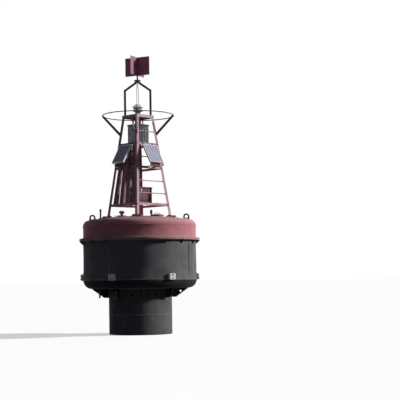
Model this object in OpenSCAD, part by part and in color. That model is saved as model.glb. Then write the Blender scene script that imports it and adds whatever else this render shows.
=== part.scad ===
// Navigation light buoy: a steel drum on a tail tube, with a lattice tower on deck.
// Lengths are in millimetres and angles in degrees.
// The origin is the centre of the tail tube's foot, +Z is up, and the viewed side is -Y.
// Azimuths are counted from +X towards +Y, so -90 is the near corner of the tower.

/* [Hull] */
// Diameter of the drum
hull_d = 2400; // [2000:10:3200]
// Height of the drum's straight black wall, up to the rub ring
drum_h = 830; // [500:5:1400]
// Radius of the rounded edge under the drum
bottom_knuckle = 170; // [60:5:300]
// Height of the deck shell's straight wall above the rub ring
deck_wall_h = 255; // [120:5:500]
// Radius of the rounded edge of the deck
deck_knuckle = 130; // [60:5:250]
// Rise of the deck's crown from the rounded edge to the middle
crown_h = 90; // [40:2:160]
// How far the rub ring stands out from the drum
ring_out = 88; // [30:2:150]
// Height of the rub ring
ring_t = 60; // [30:2:120]
// Number of gussets under the rub ring
gusset_n = 18; // [8:1:36]
// Height and reach of each gusset under the rub ring
gusset_h = 82; // [30:2:140]
// Plate thickness of the gussets
gusset_t = 10; // [6:1:20]
// Azimuth of the first gusset
gusset_turn = -80; // [-90:1:0]

/* [Anodes] */
// Number of sacrificial anode blocks around the drum's lower edge
anode_n = 6; // [4:1:8]
// Width of an anode block
anode_w = 155; // [100:5:250]
// Height of an anode block
anode_h = 140; // [80:5:250]
// How far an anode block stands out from the drum
anode_t = 62; // [30:2:90]
// Height of an anode's lower edge above the drum's lower edge
anode_up = 0; // [0:2:200]
// Azimuth of the first anode
anode_turn = -54; // [-90:1:0]

/* [Tail tube] */
// Outside diameter of the tail tube
tail_d = 1340; // [900:10:1700]
// Height of the tail tube from its foot to the hull's flat bottom
tail_h = 970; // [600:5:1600]
// Wall thickness of the tail tube
tail_wall = 14; // [8:1:30]
// Diameter of a vent hole in the tail tube
tail_hole_d = 58; // [30:1:90]
// Depth of the vent holes' centres below the hull's flat bottom
tail_hole_down = 140; // [80:5:300]
// Number of vent holes, and of mooring brackets between them
bracket_n = 8; // [4:1:12]
// Azimuth of the first mooring bracket
bracket_turn = -79; // [-90:1:0]

/* [Mooring] */
// Plate thickness of a mooring bracket
bracket_t = 24; // [16:1:36]
// Height of a bracket where it meets the tail tube
bracket_h = 194; // [150:2:260]
// Width of a bracket's level lower edge
bracket_foot = 100; // [60:5:140]
// Reach of a bracket from the tail tube along the hull's bottom
bracket_reach = 353; // [300:5:400]
// Diameter of the mooring eye in each bracket
eye_d = 44; // [30:1:60]
// Distance of the mooring eye from the tail tube's wall
eye_out = 195; // [150:1:240]
// Depth of the mooring eye below the hull's flat bottom
eye_down = 68; // [50:1:90]
// Rod diameter of a shackle's bow
bow_rod = 30; // [20:1:40]
// Free length of a shackle's straight sides below its pin
bow_leg = 85; // [60:1:120]
// Gap between a bracket and a shackle's ear on each side
ear_gap = 7; // [5:0.5:12]
// Width of metal around the pin in a shackle's ear
ear_rim = 12; // [8:1:20]
// Thickness of a shackle pin's head and nut
pin_head_t = 12; // [8:1:20]
// Running clearance around the shackle pins, in radius
pin_play = 0.05; // [0.02:0.01:0.1]

/* [Deck fittings] */
// Diameter of the hole in a lifting eye
lift_hole_d = 68; // [40:1:90]
// Width of metal around the hole in a lifting eye
lift_rim = 33; // [20:1:60]
// Plate thickness of a lifting eye
lift_t = 24; // [12:1:40]
// Distance of the lifting eyes from the middle of the deck
lift_at = 1000; // [800:5:1030]
// Height of a lifting eye's hole above the deck edge
lift_up = 66; // [60:1:120]
// Diameter of the small bolted hatch's flange
hatch_d = 250; // [150:5:350]
// Width of the hatch flange's ledge around its cover
hatch_ledge = 20; // [10:1:40]
// Thickness of the hatch's cover
hatch_t = 12; // [8:1:20]
// Diameter of the vent's flange
vent_d = 210; // [120:5:300]
// Height of the vent's flange above the deck
vent_flange_h = 14; // [8:1:30]
// Height of the vent above its flange
vent_h = 104; // [60:2:200]
// Diameter of the vent's mushroom head
vent_head_d = 116; // [80:2:180]
// Diameter of the vent's neck
vent_neck_d = 64; // [40:2:76]
// Height of the vent's neck, and of the cone on its head, as shares of the vent's height
vent_neck_share = 0.45; // [0.3:0.05:0.6]
vent_cone_share = 0.16; // [0.1:0.02:0.3]
// Height of the deck post
post_h = 235; // [100:5:400]
// Diameter of the deck post
post_d = 42; // [20:1:60]
// Diameter of the sounding pipe
pipe_d = 28; // [20:1:36]
// Height of the sounding pipe's neck above the deck edge
pipe_h = 100; // [60:5:160]
// Diameter of the sounding pipe's cap
cap_d = 54; // [38:1:70]
// Height of the sounding pipe's cap
cap_h = 80; // [40:5:120]

/* [Tower] */
// Distance of a leg's outer corner from the axis at the deck
foot_r = 682; // [560:2:760]
// Distance of a leg's outer corner from the axis under the platform
top_r = 336; // [300:2:420]
// Height of the tower from the foot plates to the platform's rim
tower_h = 2072; // [1600:2:2600]
// Flange width of the leg angles
leg_w = 63; // [40:1:90]
// Thickness of the leg angles
leg_t = 6; // [4:0.5:12]
// Side of a square foot plate
foot_plate_w = 190; // [150:5:240]
// Thickness of a foot plate
foot_plate_t = 16; // [8:1:30]
// Drop of the foot plates' seats below the top of the deck's crown
seat_drop = 15; // [5:1:25]
// Height of the lowest ring of beams above the foot plates
low_beam_up = 205; // [120:5:400]
// Height of the middle ring of beams above the foot plates
mid_beam_up = 985; // [800:5:1100]
// Height of the upper ring of beams above the foot plates
high_beam_up = 1485; // [1400:5:1550]
// Width of the beam angles
beam_w = 50; // [30:1:70]
// Thickness of the beam angles
beam_t = 5; // [3:0.5:10]
// Diameter of a ladder rung
rung_d = 20; // [12:1:30]
// Number of cladding slats on a clad face
slat_n = 4; // [2:1:7]
// Width of a slat as a multiple of the gap beside it
slat_ratio = 1.8; // [0.6:0.05:3]
// Thickness of a slat
slat_t = 4; // [2:0.5:8]

/* [Battery box] */
// Side of the square battery box
box_w = 380; // [300:5:440]
// Height of the battery box
box_h = 340; // [250:5:390]
// Wall thickness of the battery box and its lid
box_t = 4; // [2:0.5:8]
// Depth of the lid's skirt
lid_skirt = 28; // [15:1:45]
// Gap between the lid's skirt and the box
lid_gap = 6; // [5:0.5:10]
// Width of the two shelf bars under the box
shelf_w = 60; // [30:5:90]
// Thickness of the shelf bars
shelf_t = 8; // [5:1:14]

/* [Solar panels] */
// Width of a solar panel
panel_w = 370; // [250:5:420]
// Length of a solar panel
panel_l = 445; // [300:5:480]
// Thickness of a solar panel's frame
panel_t = 38; // [20:1:45]
// Width of the frame around the cells
panel_rim = 14; // [8:1:25]
// Depth of the cells' bed below the front of a panel's frame
cell_sink = 6; // [4:1:12]
// Thickness of the cells' glass
cell_t = 4; // [2:0.5:4]
// Lean of a solar panel from upright, bottom edge outwards
panel_tilt = 31; // [15:1:45]
// Gap between the tower's face and the top of a panel's back
panel_off = 22; // [20:1:80]
// Height of the panels' top edge above the foot plates
panel_up = 1465; // [1400:1:1550]
// Plate thickness of the panel brackets
bar_t = 8; // [5:1:12]
// Distance of the panel brackets from a panel's side edges
bar_in = 50; // [20:1:100]
// Width of the two flat bars under a panel's lower support plate
flat_w = 40; // [20:1:60]

/* [Platform and hoop] */
// Depth of the platform's rim
plat_h = 62; // [30:1:80]
// Thickness of the platform's plate
plat_t = 6; // [4:0.5:12]
// Radius of the hoop around the platform
hoop_r = 752; // [650:2:850]
// Rod diameter of the hoop
hoop_rod = 20; // [12:1:30]
// Width of a hoop strut
strut_w = 46; // [25:1:60]
// Thickness of a hoop strut
strut_t = 10; // [6:1:16]
// Drop from the hoop to the middle of a strut's foot on the leg
strut_drop = 400; // [250:5:500]

/* [Radar reflector] */
// Diameter of the radar reflector's top plate
refl_d = 475; // [300:5:490]
// Height of the radar reflector
refl_h = 378; // [250:2:420]
// Height of the gap between the platform and the reflector
refl_gap = 206; // [120:2:220]
// Number of folds around the reflector
refl_n = 24; // [6:1:36]
// Depth of the reflector's folds
refl_fold = 12; // [6:1:40]
// Overhang of the reflector's top plate around its folded wall
refl_rim = 16; // [8:1:30]
// Thickness of the reflector's top and bottom plates
refl_t = 12; // [4:1:16]
// Diameter of a hanger rod over the reflector
hanger_d = 14; // [8:1:24]
// Distance of the hanger rods from the axis
hanger_r = 140; // [80:5:180]

/* [Lantern] */
// Diameter of the lantern's widest brim
lamp_d = 247; // [180:1:300]
// Diameter of the lantern's stem
lamp_stem_d = 112; // [80:1:160]
// Height of the lantern's stem, up to the ring under the lens
lamp_stem_h = 92; // [60:1:140]
// Diameter of the flange at the foot of the stem
lamp_foot_d = 180; // [170:1:230]
// Thickness of the flange at the foot of the stem
lamp_foot_t = 10; // [6:1:20]
// Diameter of the ring under the lens
lamp_ring_d = 216; // [170:1:240]
// Thickness of the ring under the lens
lamp_ring_t = 14; // [8:1:25]
// Diameter of the lantern's lens
lamp_lens_d = 186; // [120:1:210]
// Height of the lantern's lens
lamp_lens_h = 66; // [50:1:130]
// Thickness of the lantern's brim
lamp_brim_t = 14; // [8:1:25]
// Height of the lantern's cap above the brim
lamp_cap_h = 66; // [40:1:90]
// Thickness of the gasket gap under the lantern's flange
lamp_seat = 0.1; // [0.05:0.05:0.5]
// Diameter of the conduit from the lantern to the battery box
conduit_d = 20; // [12:1:30]
// Diameter of the ball fittings at the conduit's bends
conduit_ball_d = 30; // [22:1:40]
// Distance of the conduit from the near leg's outer corner, inside the leg
conduit_in = 60; // [55:1:80]
// Height above the foot plates at which the conduit reaches the near leg
conduit_up = 1605; // [1560:5:1700]
// Height above the foot plates of the conduit's level run to the battery box
conduit_low = 460; // [420:5:500]

/* [Guard and topmark] */
// Distance of the guard bars from the axis
guard_r = 271; // [240:1:300]
// Height of a guard bar's upright part
guard_h = 546; // [420:2:700]
// Rise of a guard bar's sloping part to the hub
guard_rise = 158; // [100:2:250]
// Width of a guard bar
guard_w = 46; // [25:1:60]
// Thickness of a guard bar
guard_t = 8; // [5:1:14]
// Diameter of the hub's two plates over the guard bars
hub_d = 142; // [120:2:200]
// Thickness of each of the hub's plates
hub_plate_t = 12; // [8:1:16]
// Diameter of the hub between its plates
hub_core_d = 92; // [60:2:116]
// Height of the hub
hub_t = 48; // [36:1:80]
// Diameter of the topmark's mast
mast_d = 34; // [24:1:50]
// Height of the mast between the hub and the topmark
mast_h = 98; // [60:2:240]
// Width of the topmark's crossed plates
mark_w = 584; // [350:1:700]
// Height of the topmark's crossed plates
mark_h = 390; // [250:2:550]
// Thickness of the topmark's plates
mark_t = 5; // [3:0.5:10]
// Azimuth of the topmark's first plate
mark_turn = -25; // [-45:1:45]

/* [Hidden] */
$fn = 96;

// Heights of the hull, from the foot of the tail tube upwards
hull_r = hull_d / 2;
tail_r = tail_d / 2;
z_flat = tail_h;
z_drum = z_flat + bottom_knuckle;
z_ring = z_drum + drum_h;
z_head = z_ring + ring_t;
z_shoulder = z_head + deck_wall_h;
z_edge = z_shoulder + deck_knuckle;
z_crown = z_edge + crown_h;
// Radius of the deck's crown, a sphere through its middle and its rounded edge
crown_base = hull_r - deck_knuckle;
crown_r = (crown_base * crown_base + crown_h * crown_h) / (2 * crown_h);
function deck_z(r) = z_crown - crown_r + sqrt(crown_r * crown_r - r * r);

// Tower: four planar faces that lean in; u runs along a face and v up its slope
z_seat = z_crown - seat_drop;
z_foot = z_seat + foot_plate_t;
z_top = z_foot + tower_h;
face_low = foot_r / sqrt(2);
face_top = top_r / sqrt(2);
face_lean = atan((face_low - face_top) / tower_h);
function rise(h) = h / cos(face_lean);
function half_w(h) = face_low + (face_top - face_low) * h / tower_h;
function leg_r(h) = sqrt(2) * half_w(h);
// Height of a beam's top above the foot plates, at depth d behind the tower's face
function beam_top(h, d) = h + beam_w * cos(face_lean) - d * sin(face_lean);
// Azimuths of the four faces: near right, far right, far left, near left
faces = [-45, 45, 135, 225];
// Clad faces: [azimuth, end of the face that the left leg stands at]
clad_faces = [[135, 1], [225, -1]];
ladder_face = -45;
// Azimuths of the four corners: near, right, far, left
corners = [-90, 0, 90, 180];
// Gap between two beams that meet at a corner
beam_gap = 1;
// Ladder rungs: [beam below, beam above, rungs between them]
rung_bays = [
    [low_beam_up, mid_beam_up, 2],
    [mid_beam_up, high_beam_up, 1],
    [high_beam_up, tower_h, 1]
];
// Cladding slats stand between two rings of beams: [beam below, beam above]
slat_bays = [[low_beam_up, mid_beam_up], [mid_beam_up, high_beam_up]];

// Platform and what stands on it
z_plat = z_top + plat_h;
plat_out = 2;
plat_w = 2 * (face_top + plat_out);
z_hub = z_plat + guard_h + guard_rise;
z_mast = z_hub + hub_t;
z_mark = z_mast + mast_h;
z_lens = z_plat + lamp_seat + lamp_stem_h + lamp_ring_t;
dome_r = lamp_d / 2;
// Where the conduit leaves the platform, and how far below the rim it bends
conduit_at = face_top * [-0.52, -0.78];
conduit_bend = 22;
// Distance of the conduit's entry from the battery box's corner
conduit_entry = 40;

// Battery box
z_shelf = z_foot + beam_top(low_beam_up, leg_t + slat_t);
z_box = z_shelf + shelf_t;
z_rim = z_box + box_h;
box_turn = -45;
hinge_r = 10;
hinge_pin_r = 5;
hinge_gap = 5;
hinge_back = box_w / 2 + hinge_r + hinge_gap;
hinge_up = 2;
hinge_len = 200;
lug_w = 15;
lug_gap = 5;
lug_drop = 35;
// How far the lid's side skirts stop short of the box's back wall
lid_back = 5;

// Foot plates and the pads under them, which stand a ledge wider on each side
pad_ledge = 8;
foot_out = 2;
pad_w = foot_plate_w + 2 * pad_ledge;
foot_in = foot_r - foot_plate_w / 2 - foot_out;
pad_in = foot_in - pad_ledge;

// Shackles hang in the next two brackets to the left of the first one
bracket_step = 360 / bracket_n;
shackle_front = bracket_turn - bracket_step;
shackle_side = bracket_turn - 2 * bracket_step;
eye_r = tail_r + eye_out;
eye_z = z_flat - eye_down;
pin_r = eye_d / 2 - pin_play;
ear_in = bracket_t / 2 + ear_gap;
bow_mid = ear_in + bow_rod / 2;
ear_r = eye_d / 2 + ear_rim;
head_ledge = 6;
head_r = ear_r - head_ledge;

// How far a piece is drawn past a wall that it ends on, before that wall is cut from it
bite = 20;
// Overlap of shapes that are joined or cut, where their faces would otherwise coincide
lap = 1;

// Deck fittings: [x, y]
hatch_at = [400, -430];
vent_at = [-336, -430];
post_at = [-800, -250];
cap_at = [292, -640];

// Places its children at azimuth a with +X pointing outwards
module at_azimuth(a) {
    rotate([0, 0, a]) children();
}

// Turns a drawing in radius and height into a plate of thickness t at azimuth a
module radial_plate(a, t) {
    at_azimuth(a) rotate([90, 0, 0]) linear_extrude(t, center = true) children();
}

// The tower face at azimuth a: +X leaves the face, +Y runs along it, +Z climbs its slope
module on_face(a) {
    at_azimuth(a) translate([face_low, 0, z_foot]) rotate([0, -face_lean, 0]) children();
}

// A flat piece drawn in (u, v) on a face, between two depths behind the face
module face_plate(a, front, back) {
    on_face(a)
        translate([-back, 0, 0])
            rotate([90, 0, 90])
                linear_extrude(back - front) children();
}

// Hull

module hull_bottom() {
    color("#26282b")
        rotate_extrude() {
            translate([0, z_flat]) square([hull_r - bottom_knuckle, bottom_knuckle]);
            intersection() {
                translate([hull_r - bottom_knuckle, z_drum]) circle(bottom_knuckle);
                translate([0, z_flat]) square([hull_r, bottom_knuckle]);
            }
        }
}

module hull_drum() {
    color("#2b2d30") translate([0, 0, z_drum]) cylinder(r = hull_r, h = z_head - z_drum);
}

module rub_ring() {
    color("#8d8273")
        translate([0, 0, z_ring])
            difference() {
                cylinder(r = hull_r + ring_out, h = ring_t);
                translate([0, 0, -lap]) cylinder(r = hull_r, h = ring_t + 2 * lap);
            }
}

module ring_gussets() {
    color("#2b2d30")
        difference() {
            for (i = [0 : gusset_n - 1])
                radial_plate(gusset_turn + i * 360 / gusset_n, gusset_t)
                    polygon([
                        [hull_r - bite, z_ring - gusset_h],
                        [hull_r, z_ring - gusset_h],
                        [hull_r + gusset_h, z_ring],
                        [hull_r - bite, z_ring]
                    ]);
            translate([0, 0, z_drum]) cylinder(r = hull_r, h = drum_h + lap);
        }
}

// The deck shell as a solid of revolution
module shell_shape() {
    rotate_extrude($fn = 360) {
        translate([0, z_head]) square([hull_r, deck_wall_h]);
        translate([0, z_shoulder]) square([crown_base, deck_knuckle]);
        intersection() {
            translate([crown_base, z_shoulder]) circle(deck_knuckle);
            translate([0, z_shoulder]) square([hull_r, deck_knuckle]);
        }
        intersection() {
            translate([0, z_crown - crown_r]) circle(crown_r, $fn = 1440);
            translate([0, z_edge]) square([crown_base, crown_h]);
        }
    }
}

module deck_shell() {
    color("#7d2b2e") {
        shell_shape();
        for (a = corners)
            at_azimuth(a)
                translate([pad_in, -pad_w / 2, z_edge])
                    cube([pad_w, pad_w, z_seat - z_edge]);
    }
}

module anodes() {
    color("#c9c9c4")
        difference() {
            for (i = [0 : anode_n - 1])
                at_azimuth(anode_turn + i * 360 / anode_n)
                    translate([hull_r - bite, -anode_w / 2, z_drum + anode_up])
                        cube([anode_t + bite, anode_w, anode_h]);
            translate([0, 0, z_drum - lap]) cylinder(r = hull_r, h = drum_h);
        }
}

// Tail tube and mooring

module tail_tube() {
    color("#2d2f31")
        difference() {
            cylinder(r = tail_r, h = tail_h);
            translate([0, 0, -lap]) cylinder(r = tail_r - tail_wall, h = tail_h + 2 * lap);
            for (i = [0 : bracket_n - 1])
                at_azimuth(bracket_turn + (i + 0.5) * bracket_step)
                    translate([tail_r - tail_wall - bite, 0, z_flat - tail_hole_down])
                        rotate([0, 90, 0])
                            cylinder(d = tail_hole_d, h = tail_wall + 2 * bite);
        }
}

module mooring_brackets() {
    color("#2b2d30")
        difference() {
            for (i = [0 : bracket_n - 1])
                radial_plate(bracket_turn + i * bracket_step, bracket_t)
                    polygon([
                        [tail_r - bite, z_flat - bracket_h],
                        [tail_r + bracket_foot, z_flat - bracket_h],
                        [tail_r + bracket_reach, z_flat - bracket_t / 2],
                        [tail_r + bracket_reach, z_flat],
                        [tail_r - bite, z_flat]
                    ]);
            cylinder(r = tail_r, h = tail_h + lap);
            for (i = [0 : bracket_n - 1])
                at_azimuth(bracket_turn + i * bracket_step)
                    translate([eye_r, 0, eye_z])
                        rotate([90, 0, 0])
                            cylinder(d = eye_d, h = bracket_t + bite, center = true);
        }
}

// A shackle's bow, hanging from the mooring eye at azimuth a
module shackle_bow(a) {
    color("#4a4540")
        at_azimuth(a)
            translate([eye_r, 0, eye_z])
                difference() {
                    union() {
                        for (s = [-1, 1]) {
                            translate([0, s * bow_mid, 0])
                                rotate([90, 0, 0])
                                    cylinder(r = ear_r, h = bow_rod, center = true);
                            translate([0, s * bow_mid, -bow_leg])
                                cylinder(d = bow_rod, h = bow_leg);
                        }
                        translate([0, 0, -bow_leg])
                            intersection() {
                                rotate([0, 90, 0])
                                    rotate_extrude()
                                        translate([bow_mid, 0]) circle(d = bow_rod);
                                translate([-bow_rod, -2 * bow_mid, -2 * bow_mid])
                                    cube([2 * bow_rod, 4 * bow_mid, 2 * bow_mid]);
                            }
                    }
                    rotate([90, 0, 0])
                        cylinder(r = pin_r, h = 4 * bow_mid, center = true);
                }
}

// The pin through a bracket's eye, with a head at one end and a nut at the other
module shackle_pin(a) {
    color("#4a4540")
        at_azimuth(a)
            translate([eye_r, 0, eye_z])
                rotate([90, 0, 0]) {
                    cylinder(r = pin_r, h = 2 * (ear_in + bow_rod), center = true);
                    translate([0, 0, ear_in + bow_rod])
                        cylinder(r = head_r, h = pin_head_t);
                    translate([0, 0, -ear_in - bow_rod - pin_head_t])
                        cylinder(r = head_r, h = pin_head_t, $fn = 6);
                }
}

module shackle_bow_front() { shackle_bow(shackle_front); }
module shackle_pin_front() { shackle_pin(shackle_front); }
module shackle_bow_side() { shackle_bow(shackle_side); }
module shackle_pin_side() { shackle_pin(shackle_side); }

// Deck fittings

module lifting_eyes() {
    lift_w = lift_hole_d + 2 * lift_rim;
    color("#5b2226")
        difference() {
            for (s = [-1, 1])
                translate([s * lift_at, 0, 0])
                    rotate([90, 0, 0]) {
                        translate([0, z_edge + lift_up, 0])
                            cylinder(d = lift_w, h = lift_t, center = true);
                        translate([-lift_w / 2, z_shoulder, -lift_t / 2])
                            cube([lift_w, deck_knuckle + lift_up, lift_t]);
                    }
            shell_shape();
            for (s = [-1, 1])
                translate([s * lift_at, 0, z_edge + lift_up])
                    rotate([90, 0, 0])
                        cylinder(d = lift_hole_d, h = lift_t + bite, center = true);
        }
}

module deck_hatch() {
    hatch_top = deck_z(norm(hatch_at) - hatch_d / 2) + hatch_t;
    color("#5b2226")
        difference() {
            translate([hatch_at.x, hatch_at.y, 0]) {
                translate([0, 0, z_edge]) cylinder(d = hatch_d, h = hatch_top - z_edge);
                translate([0, 0, hatch_top - lap])
                    cylinder(d = hatch_d - 2 * hatch_ledge, h = hatch_t + lap);
            }
            shell_shape();
        }
}

module deck_vent() {
    flange_z = deck_z(norm(vent_at)) + vent_flange_h;
    neck_h = vent_neck_share * vent_h;
    cone_h = vent_cone_share * vent_h;
    color("#8e2c30")
        difference() {
            translate([vent_at.x, vent_at.y, 0]) {
                translate([0, 0, z_edge]) cylinder(d = vent_d, h = flange_z - z_edge);
                translate([0, 0, flange_z - lap]) cylinder(d = vent_neck_d, h = neck_h + 2 * lap);
                translate([0, 0, flange_z + neck_h])
                    cylinder(d = vent_head_d, h = vent_h - neck_h - cone_h);
                translate([0, 0, flange_z + vent_h - cone_h])
                    cylinder(d1 = vent_head_d, d2 = vent_head_d / 3, h = cone_h);
            }
            shell_shape();
        }
}

module deck_post() {
    color("#34363a")
        difference() {
            translate([post_at.x, post_at.y, z_edge - bite])
                cylinder(d = post_d, h = post_h + bite);
            shell_shape();
        }
}

module sounding_cap() {
    color("#1d1e20")
        difference() {
            translate([cap_at.x, cap_at.y, z_edge]) {
                cylinder(d = pipe_d, h = pipe_h);
                translate([0, 0, pipe_h]) cylinder(d = cap_d, h = cap_h);
            }
            shell_shape();
        }
}

// Tower

module foot_plates() {
    color("#5b2226")
        for (a = corners)
            at_azimuth(a)
                translate([foot_in, -foot_plate_w / 2, z_seat])
                    cube([foot_plate_w, foot_plate_w, foot_plate_t]);
}

// One leg's flange on a face, at the side s of that face
module leg_flange(a, s) {
    face_plate(a, 0, leg_t)
        polygon([
            [s * half_w(0), 0],
            [s * half_w(tower_h), rise(tower_h)],
            [s * (half_w(tower_h) - leg_w), rise(tower_h)],
            [s * (half_w(0) - leg_w), 0]
        ]);
}

// A leg angle at corner azimuth a, cut level at both ends
module leg(a) {
    color("#74272b")
        intersection() {
            union() {
                leg_flange(a + 45, -1);
                leg_flange(a - 45, 1);
            }
            translate([-foot_r * 2, -foot_r * 2, z_foot])
                cube([foot_r * 4, foot_r * 4, tower_h]);
        }
}

module leg_near() { leg(corners[0]); }
module leg_right() { leg(corners[1]); }
module leg_far() { leg(corners[2]); }
module leg_left() { leg(corners[3]); }

// A ring of four beam angles behind the legs' flanges, at height h above the foot plates
module beam_ring(h) {
    reach = half_w(h + beam_w) - leg_t - beam_t - beam_gap;
    inner = half_w(h + beam_w) - leg_t - beam_w - 2 * beam_gap;
    color("#74272b")
        for (a = faces)
            on_face(a) {
                translate([-leg_t - beam_t, -reach, rise(h)])
                    cube([beam_t, 2 * reach, beam_w]);
                translate([-leg_t - beam_w, -inner, rise(h) + beam_w - beam_t])
                    cube([beam_w - beam_t, 2 * inner, beam_t]);
            }
}

module low_beams() { beam_ring(low_beam_up); }
module mid_beams() { beam_ring(mid_beam_up); }
module high_beams() { beam_ring(high_beam_up); }

module ladder_rungs() {
    color("#74272b")
        for (bay = rung_bays)
            for (i = [1 : bay[2]]) {
                h = bay[0] + (bay[1] - bay[0]) * i / (bay[2] + 1);
                reach = half_w(h) - leg_t - rung_d;
                on_face(ladder_face)
                    translate([-leg_t - rung_d / 2, 0, rise(h)])
                        rotate([90, 0, 0])
                            cylinder(d = rung_d, h = 2 * reach, center = true);
            }
}

// The slats of a clad face, with a gap before each one, counted from the left leg
module cladding_slats() {
    gap = 2 / (slat_n * slat_ratio + slat_n);
    color("#5c1f24")
        for (face = clad_faces, bay = slat_bays, i = [0 : slat_n - 1]) {
            near = face[1] * (1 - gap * (1 + i * (1 + slat_ratio)));
            far = near - face[1] * gap * slat_ratio;
            low_w = half_w(bay[0]) - leg_w;
            high_w = half_w(bay[1]) - leg_w;
            low_v = rise(bay[0]) + beam_w;
            high_v = rise(bay[1]);
            face_plate(face[0], leg_t, leg_t + slat_t)
                polygon([
                    [near * low_w, low_v],
                    [far * low_w, low_v],
                    [far * high_w, high_v],
                    [near * high_w, high_v]
                ]);
        }
}

// Battery box

module shelf_bars() {
    top_h = low_beam_up + beam_w + shelf_t;
    reach = half_w(top_h) - rise(leg_t + slat_t) - 2 * beam_gap;
    color("#5b2226")
        at_azimuth(box_turn)
            for (s = [-1, 1])
                translate([-reach, s * (box_w / 2 - shelf_w) - shelf_w / 2, z_shelf])
                    cube([2 * reach, shelf_w, shelf_t]);
}

module battery_box() {
    color("#8e2c30")
        at_azimuth(box_turn)
            difference() {
                union() {
                    translate([-box_w / 2, -box_w / 2, z_box]) cube([box_w, box_w, box_h]);
                    for (s = [-1, 1])
                        translate([
                            -hinge_back - hinge_r,
                            s * (hinge_len / 2 + lug_gap + lug_w / 2) - lug_w / 2,
                            z_rim - lug_drop
                        ])
                            cube([
                                hinge_back + hinge_r - box_w / 2,
                                lug_w,
                                lug_drop + hinge_up + hinge_r
                            ]);
                }
                translate([-box_w / 2 + box_t, -box_w / 2 + box_t, z_box + box_t])
                    cube([box_w - 2 * box_t, box_w - 2 * box_t, box_h]);
                translate([-hinge_back, 0, z_rim + hinge_up])
                    rotate([90, 0, 0])
                        cylinder(r = hinge_pin_r, h = 2 * hinge_len, center = true);
            }
}

module battery_lid() {
    half = box_w / 2 + lid_gap + box_t;
    back = box_w / 2 - lid_back;
    color("#8e2c30")
        at_azimuth(box_turn)
            difference() {
                union() {
                    translate([-back, -half, z_rim]) cube([back + half, 2 * half, box_t]);
                    translate([half - box_t, -half, z_rim - lid_skirt])
                        cube([box_t, 2 * half, lid_skirt + box_t]);
                    for (s = [-1, 1])
                        translate([-back, s * (half - box_t / 2) - box_t / 2, z_rim - lid_skirt])
                            cube([back + half, box_t, lid_skirt + box_t]);
                    translate([-hinge_back, -hinge_len / 2, z_rim])
                        cube([hinge_back - back + lap, hinge_len, box_t]);
                    translate([-hinge_back, 0, z_rim + hinge_up])
                        rotate([90, 0, 0])
                            cylinder(r = hinge_r, h = hinge_len, center = true);
                }
                translate([-hinge_back, 0, z_rim + hinge_up])
                    rotate([90, 0, 0])
                        cylinder(r = hinge_pin_r + pin_play, h = 2 * hinge_len, center = true);
            }
}

module lid_hinge_pin() {
    color("#6c6c6a")
        at_azimuth(box_turn)
            translate([-hinge_back, 0, z_rim + hinge_up])
                rotate([90, 0, 0])
                    cylinder(r = hinge_pin_r, h = hinge_len + 2 * lug_gap + 2 * lug_w, center = true);
}

// Solar panels

// Places its children at the top edge of a panel's back, with -Z down along the panel
module on_panel(a) {
    on_face(a)
        translate([panel_off, 0, rise(panel_up)])
            rotate([0, -(panel_tilt - face_lean), 0]) children();
}

module panel_frames() {
    color("#d9dcdc")
        for (a = faces)
            on_panel(a)
                difference() {
                    translate([0, -panel_w / 2, -panel_l]) cube([panel_t, panel_w, panel_l]);
                    translate([panel_t - cell_sink, panel_rim - panel_w / 2, panel_rim - panel_l])
                        cube([2 * cell_sink, panel_w - 2 * panel_rim, panel_l - 2 * panel_rim]);
                }
}

module panel_cells() {
    color("#2a3c66")
        for (a = faces)
            on_panel(a)
                translate([panel_t - cell_sink, panel_rim - panel_w / 2, panel_rim - panel_l])
                    cube([cell_t, panel_w - 2 * panel_rim, panel_l - 2 * panel_rim]);
}

// Two bars from the upper beam, and a plate on two flat bars from the middle beam, per panel
module panel_brackets() {
    tilt = panel_tilt - face_lean;
    back_top = rise(panel_up);
    high = rise(high_beam_up);
    reach = panel_w / 2 - bar_in;
    // Shares of the way down a panel's back where the upper bars end
    upper = [0.08, 0.18];
    // Height that is left free at a beam's edges, and height of an upper bar's root
    edge = 7;
    root = 14;
    // Outward place on the panel's back a share f of the way down, and its height at a place
    function out_at(f) = panel_off + f * panel_l * sin(tilt);
    function back_z(out) = back_top - (out - panel_off) / tan(tilt);
    // The flat bars are level, against the middle beam's upper edge
    set_back = 30;
    plate_out = out_at(1) - set_back;
    plate_in = plate_out - bar_t;
    flat_top = rise(mid_beam_up) + beam_w - edge;
    fall = (plate_out + leg_t) * tan(face_lean);
    color("#5b2226")
        for (a = faces)
            on_face(a) {
                for (s = [-1, 1]) {
                    translate([0, s * reach, 0])
                        rotate([90, 0, 0])
                            linear_extrude(bar_t, center = true)
                                polygon([
                                    [-leg_t, high + edge],
                                    [out_at(upper[1]), back_z(out_at(upper[1]))],
                                    [out_at(upper[0]), back_z(out_at(upper[0]))],
                                    [-leg_t, high + edge + root]
                                ]);
                    translate([0, s * (reach - flat_w / 2), 0])
                        rotate([90, 0, 0])
                            linear_extrude(flat_w, center = true)
                                polygon([
                                    [-leg_t, flat_top - bar_t],
                                    [plate_out, flat_top - bar_t - fall],
                                    [plate_out, flat_top - fall],
                                    [-leg_t, flat_top]
                                ]);
                }
                rotate([90, 0, 0])
                    linear_extrude(2 * reach, center = true)
                        polygon([
                            [plate_in, flat_top - bar_t - fall],
                            [plate_out, flat_top - bar_t - fall],
                            [plate_out, back_z(plate_out)],
                            [plate_in, back_z(plate_in)]
                        ]);
            }
}

// Platform, hoop and reflector

module platform() {
    color("#74272b")
        at_azimuth(45)
            difference() {
                translate([-plat_w / 2, -plat_w / 2, z_top]) cube([plat_w, plat_w, plat_h]);
                translate([plat_t - plat_w / 2, plat_t - plat_w / 2, z_top - lap])
                    cube([plat_w - 2 * plat_t, plat_w - 2 * plat_t, plat_h - plat_t + lap]);
            }
}

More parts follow.
